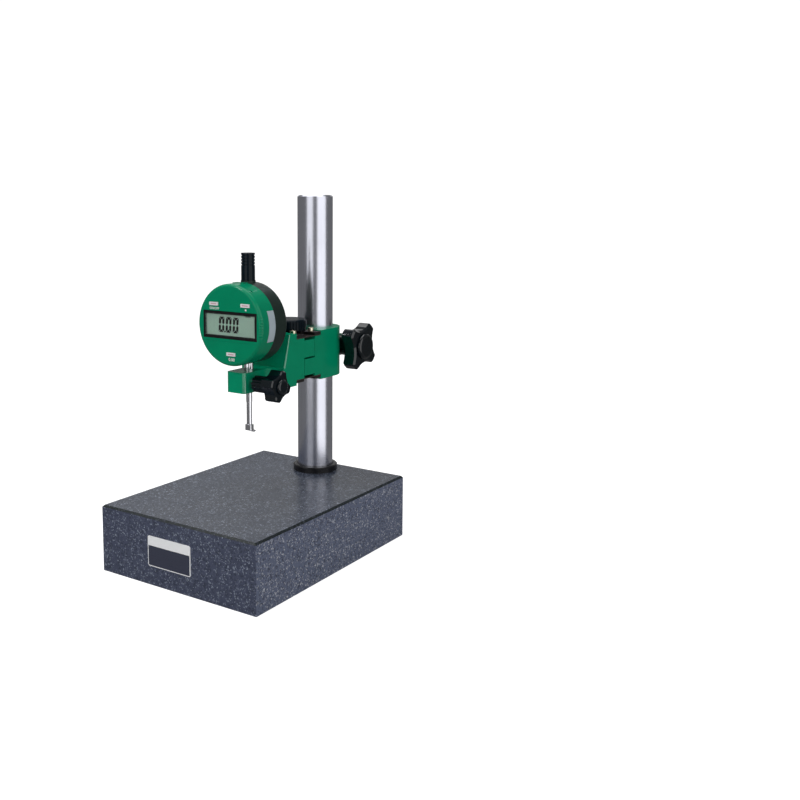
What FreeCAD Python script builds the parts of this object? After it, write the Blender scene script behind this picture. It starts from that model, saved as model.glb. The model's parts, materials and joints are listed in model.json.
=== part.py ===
import math
import operator
import os

import FreeCAD
import Part
import Sketcher
from FreeCAD import Rotation, Vector

# Digital groove gauge on a granite stand, in millimetres.
# +X is to the right, +Y to the back, +Z up. The origin is on the underside of the
# granite, in its middle. The spindle of the gauge stands ahead of the column.

doc = FreeCAD.newDocument("GrooveGauge")
sheet = doc.addObject("Spreadsheet::Sheet", "Sizes")

sizes = {
    # granite block
    "base_width": 150, "base_depth": 200, "base_height": 52, "base_edge": 1.5,
    # bare plate on the front of the granite
    "plate_width": 42, "plate_height": 23, "plate_thickness": 0.6, "plate_corner": 1.5,
    "plate_left": 5.6, "plate_middle": 26.3,
    # column and its foot
    "column_diameter": 30, "column_length": 236, "column_inset": 22.6, "column_edge": 1.2,
    "collar_diameter": 38, "collar_height": 5, "collar_edge": 0.8,
    "foot_bolt": 10, "foot_bolt_grip": 28, "foot_head": 16, "foot_head_height": 10,
    "foot_washer": 20, "foot_washer_thickness": 2, "foot_recess": 18,
    # clearances
    "running_gap": 0.05, "free_gap": 0.3, "bolt_gap": 0.25, "fit_gap": 0.02, "slide_gap": 0.1,
    "end_gap": 1, "run_past": 1,
    # arm casting, measured from the axis of the stem and from its own underside
    "reach": 90.4, "arm_underside": 83.8, "arm_width": 42, "arm_height": 42.2,
    "nose_lead": 16.6, "nose_width": 18.2, "nose_height": 16.2, "nose_edge": 2.4, "casting_edge": 1.2,
    "flare_back": 17, "flare_rest": 0.9, "front_foot": 18.3, "front_top": 25.1,
    # joint between the two castings
    "hinge_back": 45.2, "hinge_gap": 0.5, "hinge_length": 14.9, "arm_seat": 10.6, "block_seat": 8.6,
    "seat_top": 37.3, "seat_bottom": 4.5, "knuckle_top": 35.2, "knuckle_bottom": 6.5,
    "knuckle_split": 19.8, "knuckle_gap": 1.4, "block_underside": 0.2, "block_height": 41,
    # leaf springs, their plates and screws
    "leaf_thickness": 0.8, "leaf_inset": 0.2, "upper_plate": 2.4, "lower_plate": 1.9,
    "screw_spread": 27, "screw": 3, "screw_head": 5.5, "screw_cap": 3, "screw_grip": 8,
    "sunk_head": 5.6, "sunk_depth": 1.4,
    # clamp round the column
    "clamp_back": 21.6, "clamp_rise": 23.6, "clamp_lug": 19, "clamp_lug_width": 24, "clamp_slit": 3,
    "clamp_bolt": 8, "clamp_head": 13, "clamp_head_height": 5.3, "clamp_washer": 16,
    "clamp_washer_thickness": 1.6,
    "clamp_grip": 42.8, "clamp_grip_waist": 28.4, "clamp_grip_scallop": 40.6, "clamp_grip_head": 12.2,
    "clamp_grip_hub": 18, "clamp_grip_neck": 10.5, "clamp_grip_turn": 7.6, "clamp_grip_edge": 1.4,
    "clamp_grip_boss": 22, "clamp_grip_crown": 3,
    # clamp of the stem
    "cotter_lead": 6.5, "cotter_rise": 7.2, "cotter": 8, "cotter_split": 1, "cotter_proud": 3.2,
    "cotter_rod": 4, "cotter_inset": 0.3,
    "stem_grip": 24.4, "stem_grip_waist": 17.8, "stem_grip_scallop": 24, "stem_grip_head": 11.7,
    "stem_grip_hub": 13, "stem_grip_neck": 12.8, "stem_grip_turn": 26.5, "stem_grip_edge": 0.9,
    "stem_grip_boss": 12, "stem_grip_crown": 2.4, "hub_flute": 2.4, "stem_hub_flutes": 10,
    "insert_wall": 1.6, "insert_cover": 4,
    # fine adjustment
    "fine_knob": 29.2, "fine_knob_height": 9.6, "fine_knob_rise": 41.4, "fine_knob_edge": 1.2,
    "fine_knob_grooves": 36, "fine_knob_groove": 1, "fine_screw": 6, "fine_screw_hold": 6,
    "fine_tip": 4, "fine_tip_height": 1, "thrust_pad": 8, "thrust_pad_height": 3, "fine_slot": 9,
    # casing of the indicator
    "face_lead": 23.5, "face_diameter": 63.2, "face_rise": 53.3, "front_depth": 17, "rear_depth": 15.3,
    "rear_step": 0.1, "shell_wall": 2, "face_wall": 1.8, "face_edge": 2.8, "rear_edge": 2.4,
    "neck_diameter": 11.6, "neck_proud": 1.3, "lug_width": 10.8, "lug_height": 8, "lug_depth": 6,
    "lug_proud": 0.2, "notch": 1, "notch_length": 6, "notch_pitch": 2.2, "notches": 8,
    "rim_slot_width": 2.6, "rim_slot_length": 1.4, "rim_slot_depth": 1.2, "rim_slot_lead": 5,
    "face_line": 0.4, "face_line_depth": 0.2, "face_line_width": 49, "face_line_drop": 12.6,
    "post": 4.6, "post_across": 26, "post_up": 41, "case_screw": 2, "case_screw_head": 3.8,
    "case_screw_cap": 1.5, "case_screw_length": 20,
    # display
    "lcd_width": 52.2, "lcd_height": 21, "lcd_right": 0.6, "lcd_drop": 0, "lcd_border": 2,
    "lcd_thickness": 2.2, "lcd_inset": 0.5, "lcd_gap": 0.2, "bezel_proud": 0.2, "window_thickness": 1.2,
    "connector_width": 22, "connector_height": 2, "connector_left": 22.5,
    # buttons
    "button_width": 8.4, "button_height": 2.6, "button_proud": 0.7, "button_travel": 0.5,
    "button_flange": 0.7, "button_flange_depth": 1, "button_post": 2.4, "pad_diameter": 4,
    "pad_thickness": 0.9, "left_button": -14.8, "right_button": 16, "zero_button": 1.8,
    "upper_button_rise": 15.9, "zero_button_inset": 9.5,
    # circuit board
    "board_margin": 2.3, "board_thickness": 1.2, "board_lead": 1, "chip_side": 10, "chip_thickness": 1.4,
    "chip_left": 14, "chip_drop": 1.5,
    # battery drawer
    "tray_height": 23.8, "tray_width": 7.9, "tray_reach": 25, "tray_depth": 4.5, "tray_panel": 3.6,
    "tray_slot": 7.5, "tray_lead": 7.6, "cell_diameter": 20, "cell_thickness": 3.2, "cell_margin": 1,
    "holder_thickness": 1.2, "holder_height": 16,
    # stem, spindle and what they carry
    "stem_diameter": 8, "stem_bore": 5.9, "stem_flange": 10, "stem_flange_height": 2, "stem_inset": 0.3,
    "boss_width": 16, "boss_front": 5, "boss_rear": 3.6, "boss_height": 6.5, "boss_rise": 1.5,
    "bush_length": 8, "spindle_diameter": 4.9, "spindle_drop": 9.6, "spindle_proud": 3.1,
    "upper_bush": 8, "upper_bush_length": 9, "cap_thread": 4,
    "cap_diameter": 10.8, "cap_height": 21.2, "cap_wall": 1.5, "cap_ribs": 4, "cap_rib_pitch": 2.4,
    "cap_rib_depth": 0.5, "cap_rib_width": 1,
    "carrier_width": 10, "carrier_height": 13, "carrier_drop": 15, "carrier_front": 5.2,
    "carrier_rear": 2.8, "strip_width": 6, "strip_height": 30, "strip_thickness": 0.8,
    "guide_pin": 2, "guide_pin_length": 12.5, "rail_width": 4, "rail_left": 13.5, "rail_front": 2.5,
    "rail_height": 28, "rail_drop": 16, "rail_end": 2,
    "spring_wire": 0.6, "spring_diameter": 6.1, "spring_turns": 7,
    # contact for grooves
    "rod_diameter": 4.4, "rod_length": 18, "rod_spigot": 2.5, "rod_spigot_length": 5,
    "tip_width": 6, "tip_depth": 5, "tip_height": 4.6, "tip_edge": 0.8, "nib_reach": 2.4,
    "nib_height": 1.4, "nib_width": 2.4,
}

for row, (name, plain) in enumerate(sizes.items(), start=1):
    sheet.set(f"A{row}", name)
    sheet.set(f"B{row}", str(plain))
    sheet.setAlias(f"B{row}", name)
doc.recompute()


class Size:
    # a number together with the cells it comes from

    def __init__(self, value, text):
        self.value = float(value)
        self.text = text

    def combine(self, other, sign, rule, turned=False):
        if not isinstance(other, Size):
            other = Size(other, str(other))
        left, right = (other, self) if turned else (self, other)
        return Size(rule(left.value, right.value), f"({left.text} {sign} {right.text})")

    def __add__(self, other):
        return self.combine(other, "+", operator.add)

    def __radd__(self, other):
        return self.combine(other, "+", operator.add, turned=True)

    def __sub__(self, other):
        return self.combine(other, "-", operator.sub)

    def __rsub__(self, other):
        return self.combine(other, "-", operator.sub, turned=True)

    def __mul__(self, other):
        return self.combine(other, "*", operator.mul)

    def __rmul__(self, other):
        return self.combine(other, "*", operator.mul, turned=True)

    def __truediv__(self, other):
        return self.combine(other, "/", operator.truediv)

    def __neg__(self):
        return Size(-self.value, f"(0 - {self.text})")


class Sizes:
    # every cell of the sheet under its own name
    pass


of = Sizes()
for name, plain in sizes.items():
    setattr(of, name, Size(plain, f"Sizes.{name}"))


def number(size):
    return size.value if isinstance(size, Size) else float(size)


def bind(thing, prop, size):
    # sets a property and ties it to the sheet
    if isinstance(size, Size):
        thing.setExpression(prop, size.text)
    return number(size)


def place(thing, at, turn=None):
    # puts a thing at a point, with each coordinate tied to the sheet
    thing.Placement = FreeCAD.Placement(Vector(*[number(c) for c in at]), turn or Rotation())
    for letter, c in zip("xyz", at):
        bind(thing, f"Placement.Base.{letter}", c)
    return thing


along = {"Z": Rotation(), "X": Rotation(Vector(0, 1, 0), 90), "Y": Rotation(Vector(1, 0, 0), -90)}


def box(width, depth, height, at):
    # a block from its lowest corner
    thing = doc.addObject("Part::Box", "Block")
    for prop, size in (("Length", width), ("Width", depth), ("Height", height)):
        setattr(thing, prop, bind(thing, prop, size))
    return place(thing, at)


def cylinder(diameter, length, at, axis="Z"):
    # a round bar from the middle of its first face
    thing = doc.addObject("Part::Cylinder", "Bar")
    thing.Radius = bind(thing, "Radius", diameter / 2)
    thing.Height = bind(thing, "Height", length)
    return place(thing, at, along[axis])


def cone(diameter, end_diameter, length, at, axis="Z"):
    thing = doc.addObject("Part::Cone", "Taper")
    thing.Radius1 = bind(thing, "Radius1", diameter / 2)
    thing.Radius2 = bind(thing, "Radius2", end_diameter / 2)
    thing.Height = bind(thing, "Height", length)
    return place(thing, at, along[axis])


def prism(across, length, at, axis="Z", turn=0):
    # a hexagon bar, measured across its flats
    thing = doc.addObject("Part::Prism", "Hexagon")
    thing.Polygon = 6
    thing.Circumradius = bind(thing, "Circumradius", across / math.sqrt(3))
    thing.Height = bind(thing, "Height", length)
    return place(thing, at, along[axis].multiply(Rotation(Vector(0, 0, 1), turn)))


def fuse(*things):
    whole = doc.addObject("Part::MultiFuse", "Joined")
    whole.Shapes = list(things)
    whole.Refine = True
    return whole


def cut(base, *tools):
    for tool in tools:
        whole = doc.addObject("Part::Cut", "Trimmed")
        whole.Base = base
        whole.Tool = tool
        whole.Refine = True
        base = whole
    return base


def common(base, tool):
    whole = doc.addObject("Part::Common", "Shared")
    whole.Base = base
    whole.Tool = tool
    return whole


def group(*things):
    # separate pieces that share one name
    whole = doc.addObject("Part::Compound", "Set")
    whole.Links = list(things)
    return whole


# Shares of a screw's size that its hexagon socket takes
socket_across, socket_deep = 0.8, 0.6
small_socket_across, small_socket_deep = 0.6, 0.7
lobes_of_grip = 4
share_of_crown = 0.8
# how far the slot in the rim leans from the top, in degrees
rim_slot_lean = 33.5
nodes = {}


def keep(name, thing):
    thing.Label = name
    nodes[name] = thing
    return thing


def body(name):
    return keep(name, doc.addObject("PartDesign::Body", name.title().replace("_", "")))


def sketch(owner, role, offset=0):
    # a sketch on one of the body's own planes, moved along that plane's normal
    drawing = owner.newObject("Sketcher::SketchObject", owner.Label + "_profile")
    plane = [p for p in owner.Origin.OriginFeatures if p.Role == role][0]
    drawing.AttachmentSupport = [(plane, "")]
    drawing.MapMode = "FlatFace"
    drawing.AttachmentOffset = FreeCAD.Placement(Vector(0, 0, number(offset)), Rotation())
    bind(drawing, "AttachmentOffset.Base.z", offset)
    return drawing


def pin_point(drawing, line, end, across, up):
    # ties one point of a drawing to the sheet
    for kind, size, axis in (("DistanceX", across, -2), ("DistanceY", up, -1)):
        if isinstance(size, Size):
            place_of = drawing.addConstraint(
                Sketcher.Constraint(kind, -1, 1, line, end, size.value))
            drawing.setExpression(f"Constraints[{place_of}]", size.text)
        else:
            drawing.addConstraint(Sketcher.Constraint("PointOnObject", line, end, axis))


def outline(drawing, points):
    # a closed line through points given in the plane of the drawing
    corners = [Vector(number(a), number(b), 0) for a, b in points]
    lines = []
    for start, end in zip(corners, corners[1:] + corners[:1]):
        lines.append(drawing.addGeometry(Part.LineSegment(start, end)))
    for line, following in zip(lines, lines[1:] + lines[:1]):
        drawing.addConstraint(Sketcher.Constraint("Coincident", line, 2, following, 1))
    for line, (across, up) in zip(lines, points):
        pin_point(drawing, line, 1, across, up)
    return drawing


def ring(drawing, diameter, across=0, up=0):
    # a circle in the plane of the drawing
    centre = Vector(number(across), number(up), 0)
    circle = drawing.addGeometry(Part.Circle(centre, Vector(0, 0, 1), number(diameter) / 2))
    at = drawing.addConstraint(Sketcher.Constraint("Radius", circle, number(diameter) / 2))
    bind(drawing, f"Constraints[{at}]", diameter / 2)
    pin_point(drawing, circle, 3, across, up)
    return drawing


def rectangle(drawing, left, right, low, high):
    return outline(drawing, [(left, low), (right, low), (right, high), (left, high)])


def pad(owner, drawing, length, backwards=False, both=False):
    feature = owner.newObject("PartDesign::Pad", owner.Label + "_pad")
    feature.Profile = drawing
    feature.Length = bind(feature, "Length", length)
    feature.Reversed = backwards
    feature.SideType = "Symmetric" if both else "One side"
    drawing.Visibility = False
    return feature


def pocket(owner, drawing, length, backwards=False, both=False):
    feature = owner.newObject("PartDesign::Pocket", owner.Label + "_pocket")
    feature.Profile = drawing
    feature.Length = bind(feature, "Length", length)
    feature.Reversed = backwards
    feature.SideType = "Symmetric" if both else "One side"
    return feature


def carve(owner, kind, measures, at, turn):
    # takes a plain solid out of a body at any slant
    tool = owner.newObject(f"PartDesign::Subtractive{kind}", f"{owner.Label}_{kind.lower()}")
    for prop, size in measures.items():
        setattr(tool, prop, bind(tool, prop, size))
    return place(tool, at, turn)


def soften(owner, base, chosen, size, kind="Fillet"):
    # rounds or chamfers the edges of the last feature that pass a test
    doc.recompute()
    names = [f"Edge{i}" for i, edge in enumerate(base.Shape.Edges, start=1) if chosen(edge)]
    feature = owner.newObject(f"PartDesign::{kind}", f"{owner.Label}_{kind.lower()}")
    feature.Base = (base, names)
    prop = "Radius" if kind == "Fillet" else "Size"
    setattr(feature, prop, bind(feature, prop, size))
    return feature


def repeat(owner, feature, count):
    # copies a feature evenly round the body's own Z axis
    pattern = owner.newObject("PartDesign::PolarPattern", owner.Label + "_pattern")
    pattern.Originals = [feature]
    axis = [a for a in owner.Origin.OriginFeatures if a.Role == "Z_Axis"][0]
    pattern.Axis = (axis, [""])
    pattern.Angle = 360
    pattern.Occurrences = round(bind(pattern, "Occurrences", count))
    owner.Tip = pattern
    return pattern


# how close two places have to be to count as one
hair = 1e-4


def flat_at(axis, level):
    # picks edges that lie wholly in one plane
    low, high = axis + "Min", axis + "Max"

    def chosen(edge):
        limits = edge.BoundBox
        return all(abs(getattr(limits, end) - number(level)) < hair for end in (low, high))
    return chosen


def either(first, second):
    return lambda edge: first(edge) or second(edge)


def straight_along(axis):
    # picks straight edges that run along one axis
    others = [letter for letter in "XYZ" if letter != axis]

    def chosen(edge):
        limits = edge.BoundBox
        return all(getattr(limits, letter + "Length") < hair for letter in others)
    return chosen


# Places that several pieces share
past = of.run_past
column_y = of.base_depth / 2 - of.column_inset
stem_y = column_y - of.reach
top_of_base = of.base_height
arm_low = top_of_base + of.arm_underside
arm_top = arm_low + of.arm_height
nose_top = arm_low + of.nose_height
hinge_y = stem_y + of.hinge_back
block_y = hinge_y + of.hinge_length
fine_y = hinge_y + of.hinge_length / 2
upper_seat = arm_low + of.seat_top
lower_seat = arm_low + of.seat_bottom
block_low = arm_low + of.block_underside
block_top = block_low + of.block_height
clamp_y = column_y + of.clamp_back
clamp_z = arm_low + of.clamp_rise
cotter_y = stem_y - of.cotter_lead
cotter_z = arm_low + of.cotter_rise
face_y = stem_y - of.face_lead
seam_y = face_y + of.front_depth
back_y = seam_y + of.rear_depth
inner_y = face_y + of.face_wall
face_z = arm_low + of.face_rise
face_radius = of.face_diameter / 2
rear_diameter = of.face_diameter - 2 * of.rear_step
neck_top = face_z + face_radius + of.neck_proud


# Granite block with chamfered top edges and a recessed hole for the column's bolt
granite = body("granite_base")
half_width = of.base_width / 2
half_depth = of.base_depth / 2
block_pad = pad(granite, rectangle(sketch(granite, "XY_Plane"), -half_width, half_width, -half_depth,
                                   half_depth), of.base_height)
soften(granite, block_pad, flat_at("Z", of.base_height), of.base_edge, "Chamfer")
bolt_hole = of.foot_bolt + 2 * of.bolt_gap
pocket(granite, ring(sketch(granite, "XY_Plane"), bolt_hole, 0, column_y), 4 * of.base_height, both=True)
recess = of.foot_washer + 2 * of.bolt_gap
pocket(granite, ring(sketch(granite, "XY_Plane"), recess, 0, column_y), 2 * of.foot_recess, both=True)

# Bare plate on the front of the granite
plate = body("name_plate")
plate_drawing = rectangle(
    sketch(plate, "XZ_Plane", half_depth),
    -of.plate_left - of.plate_width / 2, of.plate_width / 2 - of.plate_left,
    of.plate_middle - of.plate_height / 2, of.plate_middle + of.plate_height / 2)
plate_pad = pad(plate, plate_drawing, of.plate_thickness)
soften(plate, plate_pad, straight_along("Y"), of.plate_corner)

# Column with a chamfered top and a blind hole in its foot
column = body("column")
column_pad = pad(column, ring(sketch(column, "XY_Plane", top_of_base), of.column_diameter, 0, column_y),
                 of.column_length)
soften(column, column_pad, flat_at("Z", top_of_base + of.column_length), of.column_edge, "Chamfer")
foot_hole = of.foot_bolt + 2 * of.fit_gap
pocket(column, ring(sketch(column, "XY_Plane", top_of_base), foot_hole, 0, column_y),
       2 * of.foot_bolt_grip, both=True)

# Ring round the column's foot
collar = body("column_collar")
collar_drawing = ring(sketch(collar, "XY_Plane", top_of_base), of.collar_diameter, 0, column_y)
ring(collar_drawing, of.column_diameter + 2 * of.running_gap, 0, column_y)
collar_pad = pad(collar, collar_drawing, of.collar_height)
soften(collar, collar_pad, flat_at("Z", top_of_base + of.collar_height), of.collar_edge, "Chamfer")


def tube(diameter, bore, length, at, axis="Z"):
    # a round bar with a hole right through it
    start = list(at)
    start["XYZ".index(axis)] -= past
    return cut(cylinder(diameter, length, at, axis), cylinder(bore, length + 2 * past, start, axis))


# Bolt and washer that pull the column down from beneath
washer_top = of.foot_recess
washer_low = washer_top - of.foot_washer_thickness
keep("column_washer", tube(of.foot_washer, bolt_hole, of.foot_washer_thickness, (0, column_y, washer_low)))
head_low = washer_low - of.foot_head_height
shank_length = top_of_base + of.foot_bolt_grip - of.end_gap - washer_low
keep("column_bolt", cut(
    fuse(cylinder(of.foot_head, of.foot_head_height, (0, column_y, head_low)),
         cylinder(of.foot_bolt, shank_length, (0, column_y, washer_low))),
    prism(of.foot_bolt * socket_across, of.foot_head_height * socket_deep, (0, column_y, head_low))))


# Casting that clamps the column: bored block, slit rear, two lugs and the lower knuckle
block = body("clamp_block")
knuckle_low = arm_low + of.knuckle_bottom
split_low = arm_low + of.knuckle_split
split_high = split_low + of.knuckle_gap
seat_end = block_y + of.block_seat
block_side = [
    (column_y, block_low), (column_y, block_top), (block_y, block_top), (block_y, split_low),
    (hinge_y + of.hinge_gap, split_low), (hinge_y + of.hinge_gap, knuckle_low), (block_y, knuckle_low),
    (block_y, block_low),
]
pad(block, outline(sketch(block, "YZ_Plane"), block_side), of.arm_width, both=True)
pad(block, ring(sketch(block, "XY_Plane", block_low), of.arm_width, 0, column_y), of.block_height)
pad(block, ring(sketch(block, "YZ_Plane"), of.clamp_lug, clamp_y, clamp_z), of.clamp_lug_width, both=True)
for low, high in ((upper_seat, block_top + past), (block_low - past, lower_seat)):
    seat_drawing = rectangle(sketch(block, "YZ_Plane"), hinge_y, seat_end, low, high)
    pocket(block, seat_drawing, 2 * of.arm_width, both=True)
column_bore = of.column_diameter + 2 * of.running_gap
pocket(block, ring(sketch(block, "XY_Plane", block_low), column_bore, 0, column_y),
       4 * of.block_height, both=True)
slit_back = clamp_y + of.clamp_lug
pocket(block, rectangle(sketch(block, "XY_Plane", block_low), -of.clamp_slit / 2, of.clamp_slit / 2,
                        column_y, slit_back), 4 * of.block_height, both=True)
clamp_hole = of.clamp_bolt + 2 * of.bolt_gap
pocket(block, ring(sketch(block, "YZ_Plane"), clamp_hole, clamp_y, clamp_z), 2 * of.arm_width, both=True)
pocket(block, ring(sketch(block, "XY_Plane", split_low), of.thrust_pad + 2 * of.fit_gap, 0, fine_y),
       2 * of.thrust_pad_height, both=True)
screw_hole = of.screw + 2 * of.slide_gap
block_screw_y = block_y + of.block_seat / 2
for side, outward in ((1, True), (-1, False)):
    spot = ring(sketch(block, "YZ_Plane", side * of.clamp_lug_width / 2), of.clamp_lug, clamp_y, clamp_z)
    pocket(block, spot, of.arm_width, backwards=outward)
for seat in (upper_seat, lower_seat):
    drawing = ring(sketch(block, "XY_Plane", seat), screw_hole, -of.screw_spread / 2, block_screw_y)
    ring(drawing, screw_hole, of.screw_spread / 2, block_screw_y)
    pocket(block, drawing, 2 * of.screw_grip, both=True)

# Casting of the arm: nose, flared bar, tall block with a sloping front, upper knuckle
arm = body("arm")
arm_side = [
    (stem_y + of.front_foot, arm_low), (hinge_y - of.arm_seat, arm_low), (hinge_y - of.arm_seat, lower_seat),
    (hinge_y, lower_seat), (hinge_y, split_high), (block_y - of.hinge_gap, split_high),
    (block_y - of.hinge_gap, arm_low + of.knuckle_top), (hinge_y, arm_low + of.knuckle_top),
    (hinge_y, upper_seat), (hinge_y - of.arm_seat, upper_seat), (hinge_y - of.arm_seat, arm_top),
    (stem_y + of.front_top, arm_top), (stem_y + of.front_foot, nose_top),
]
pad(arm, outline(sketch(arm, "YZ_Plane"), arm_side), of.arm_width, both=True)
half_nose = of.nose_width / 2
half_arm = of.arm_width / 2
flare_y = stem_y + of.flare_back
bar_end = hinge_y - of.arm_seat
nose_y = stem_y - of.nose_lead
bar_plan = [
    (-half_nose, nose_y), (half_nose, nose_y), (half_nose, flare_y), (half_arm, flare_y),
    (half_arm, bar_end), (-half_arm, bar_end), (-half_arm, flare_y), (-half_nose, flare_y),
]
bar_pad = pad(arm, outline(sketch(arm, "XY_Plane", arm_low), bar_plan), of.nose_height)


def upright_at(across, along_y):
    # picks upright edges at a distance from the middle and a place along Y
    def chosen(edge):
        limits = edge.BoundBox
        upright = limits.XLength < hair and limits.YLength < hair
        at_side = abs(abs(limits.XMin) - number(across)) < hair
        return upright and at_side and abs(limits.YMin - number(along_y)) < hair
    return chosen


flared = soften(arm, bar_pad, upright_at(half_nose, flare_y), half_arm - half_nose - of.flare_rest)
rounded = soften(arm, flared, upright_at(half_nose, nose_y), of.nose_edge)


def sloping_edge(edge):
    # picks the two slanted edges at the front of the tall block
    limits = edge.BoundBox
    slanted = limits.XLength < hair and limits.YLength > hair and limits.ZLength > hair
    return slanted and abs(abs(limits.XMin) - number(half_arm)) < hair


soften(arm, rounded, sloping_edge, of.casting_edge)
stem_hole = of.stem_diameter + 2 * of.running_gap
pocket(arm, ring(sketch(arm, "XY_Plane", arm_low), stem_hole, 0, stem_y), 4 * of.nose_height, both=True)
cotter_hole = of.cotter + 2 * of.fit_gap
pocket(arm, ring(sketch(arm, "YZ_Plane"), cotter_hole, cotter_y, cotter_z), 2 * of.nose_width, both=True)
fine_hole = of.fine_screw + 2 * of.running_gap
pocket(arm, ring(sketch(arm, "XY_Plane", arm_low), fine_hole, 0, fine_y), 4 * of.arm_height, both=True)
arm_screw_y = hinge_y - of.arm_seat / 2
for seat in (upper_seat, lower_seat):
    drawing = ring(sketch(arm, "XY_Plane", seat), screw_hole, -of.screw_spread / 2, arm_screw_y)
    ring(drawing, screw_hole, of.screw_spread / 2, arm_screw_y)
    pocket(arm, drawing, 2 * of.screw_grip, both=True)

# Leaf springs that join the arm to the block, and the plates that hold them
leaf_width = of.arm_width - 2 * of.leaf_inset
leaf_left = of.leaf_inset - half_arm
leaf_front = hinge_y - of.arm_seat + of.leaf_inset
leaf_length = seat_end - of.leaf_inset - leaf_front
leaf_top = upper_seat + of.leaf_thickness
leaf_bottom = lower_seat - of.leaf_thickness


def screw_bores(low, height, rows):
    # clearance holes for the plate screws
    return [cylinder(screw_hole, height, (side * of.screw_spread / 2, row, low))
            for row in rows for side in (-1, 1)]


def leaf(name, low, tools):
    blank = box(leaf_width, leaf_length, of.leaf_thickness, (leaf_left, leaf_front, low))
    holes = screw_bores(low - past, of.leaf_thickness + 2 * past, (arm_screw_y, block_screw_y))
    return keep(name, cut(blank, *holes, *tools))


leaf("upper_leaf_spring", upper_seat,
     [cylinder(of.fine_slot, of.leaf_thickness + 2 * past, (0, fine_y, upper_seat - past))])
leaf("lower_leaf_spring", leaf_bottom, [])


def holding_plate(name, front, length, low, thickness, row, sunk):
    blank = box(leaf_width, length, thickness, (leaf_left, front, low))
    tools = screw_bores(low - past, thickness + 2 * past, (row,))
    if sunk:
        tools += [cone(of.sunk_head + 2 * of.slide_gap, screw_hole, of.sunk_depth,
                       (side * of.screw_spread / 2, row, low)) for side in (-1, 1)]
    return keep(name, cut(blank, *tools))


arm_plate_length = of.arm_seat - of.leaf_inset
block_plate_length = of.block_seat - of.leaf_inset
lower_plate_low = leaf_bottom - of.lower_plate
holding_plate("arm_upper_plate", leaf_front, arm_plate_length, leaf_top, of.upper_plate, arm_screw_y, False)
holding_plate("block_upper_plate", block_y, block_plate_length, leaf_top, of.upper_plate, block_screw_y,
              False)
holding_plate("arm_lower_plate", leaf_front, arm_plate_length, lower_plate_low, of.lower_plate, arm_screw_y,
              True)
holding_plate("block_lower_plate", block_y, block_plate_length, lower_plate_low, of.lower_plate,
              block_screw_y, True)


def cap_screw(x, y, seat):
    # a socket head screw that points down
    shank = of.upper_plate + of.leaf_thickness + of.screw_grip - of.end_gap
    whole = fuse(cylinder(of.screw_head, of.screw_cap, (x, y, seat)),
                 cylinder(of.screw, shank, (x, y, seat - shank)))
    socket_low = seat + of.screw_cap * (1 - socket_deep)
    return cut(whole, prism(of.screw * socket_across, of.screw_cap * socket_deep, (x, y, socket_low)))


def sunk_screw(x, y, seat):
    # a countersunk screw that points up
    shank = of.lower_plate + of.leaf_thickness + of.screw_grip - of.end_gap
    whole = fuse(cone(of.sunk_head, of.screw, of.sunk_depth, (x, y, seat)),
                 cylinder(of.screw, shank, (x, y, seat)))
    return cut(whole, prism(of.screw * small_socket_across, of.sunk_depth * small_socket_deep, (x, y, seat)))


for name, row in (("arm_plate_screws", arm_screw_y), ("block_plate_screws", block_screw_y)):
    sides = (-of.screw_spread / 2, of.screw_spread / 2)
    keep(name, group(*[cap_screw(x, row, leaf_top + of.upper_plate) for x in sides],
                     *[sunk_screw(x, row, lower_plate_low) for x in sides]))


def grip(name, sort, at, turn, bore, flutes=0):
    # a four-lobed knob on its own upright axis, then laid along +X
    size, waist, scallop, head, hub, neck, edge, boss, crown = [
        getattr(of, f"{sort}_grip{part}")
        for part in ("", "_waist", "_scallop", "_head", "_hub", "_neck", "_edge", "_boss", "_crown")]
    knob = body(name)
    pad(knob, ring(sketch(knob, "XY_Plane", neck), size), head)
    bite = pocket(knob, ring(sketch(knob, "XY_Plane", neck), scallop, (waist + scallop) / 2, 0),
                  4 * head, both=True)
    lobes = repeat(knob, bite, lobes_of_grip)
    tips = soften(knob, lobes, straight_along("Z"), edge * 2)
    soften(knob, tips, either(flat_at("Z", neck), flat_at("Z", neck + head)), edge, "Chamfer")
    crowned = pad(knob, ring(sketch(knob, "XY_Plane", neck + head), boss), crown)
    soften(knob, crowned, flat_at("Z", neck + head + crown), crown * share_of_crown)
    pad(knob, ring(sketch(knob, "XY_Plane"), hub), neck + past)
    if flutes:
        across = hub / 2 + of.hub_flute / 4
        flute = pocket(knob, ring(sketch(knob, "XY_Plane"), of.hub_flute, across, 0), 2 * neck, both=True)
        repeat(knob, flute, flutes)
    pocket(knob, ring(sketch(knob, "XY_Plane"), bore, 0, 0), 2 * (neck + head - of.insert_cover), both=True)
    place(knob, at, along["X"].multiply(Rotation(Vector(0, 0, 1), number(turn))))
    return knob


def insert(name, rod, length, at):
    # threaded bush moulded into a knob
    return keep(name, tube(rod + 2 * of.insert_wall, rod + 2 * of.running_gap, length, at, "X"))


# Bolt, washer and knob that close the lugs on the column
lug_x = of.clamp_lug_width / 2
hub_x = lug_x + of.clamp_washer_thickness
keep("clamp_washer", tube(of.clamp_washer, clamp_hole, of.clamp_washer_thickness, (lug_x, clamp_y, clamp_z),
                          "X"))
insert_length = of.clamp_grip_neck + of.clamp_grip_head - of.insert_cover
head_x = -lug_x - of.clamp_head_height
keep("clamp_bolt", fuse(
    prism(of.clamp_head, of.clamp_head_height, (head_x, clamp_y, clamp_z), "X"),
    cylinder(of.clamp_bolt, hub_x + insert_length - of.end_gap + lug_x, (-lug_x, clamp_y, clamp_z), "X")))
insert_bore = of.clamp_bolt + 2 * of.insert_wall + 2 * of.fit_gap
grip("clamp_knob", "clamp", (hub_x, clamp_y, clamp_z), of.clamp_grip_turn, insert_bore)
insert("clamp_knob_insert", of.clamp_bolt, insert_length, (hub_x, clamp_y, clamp_z))

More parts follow.
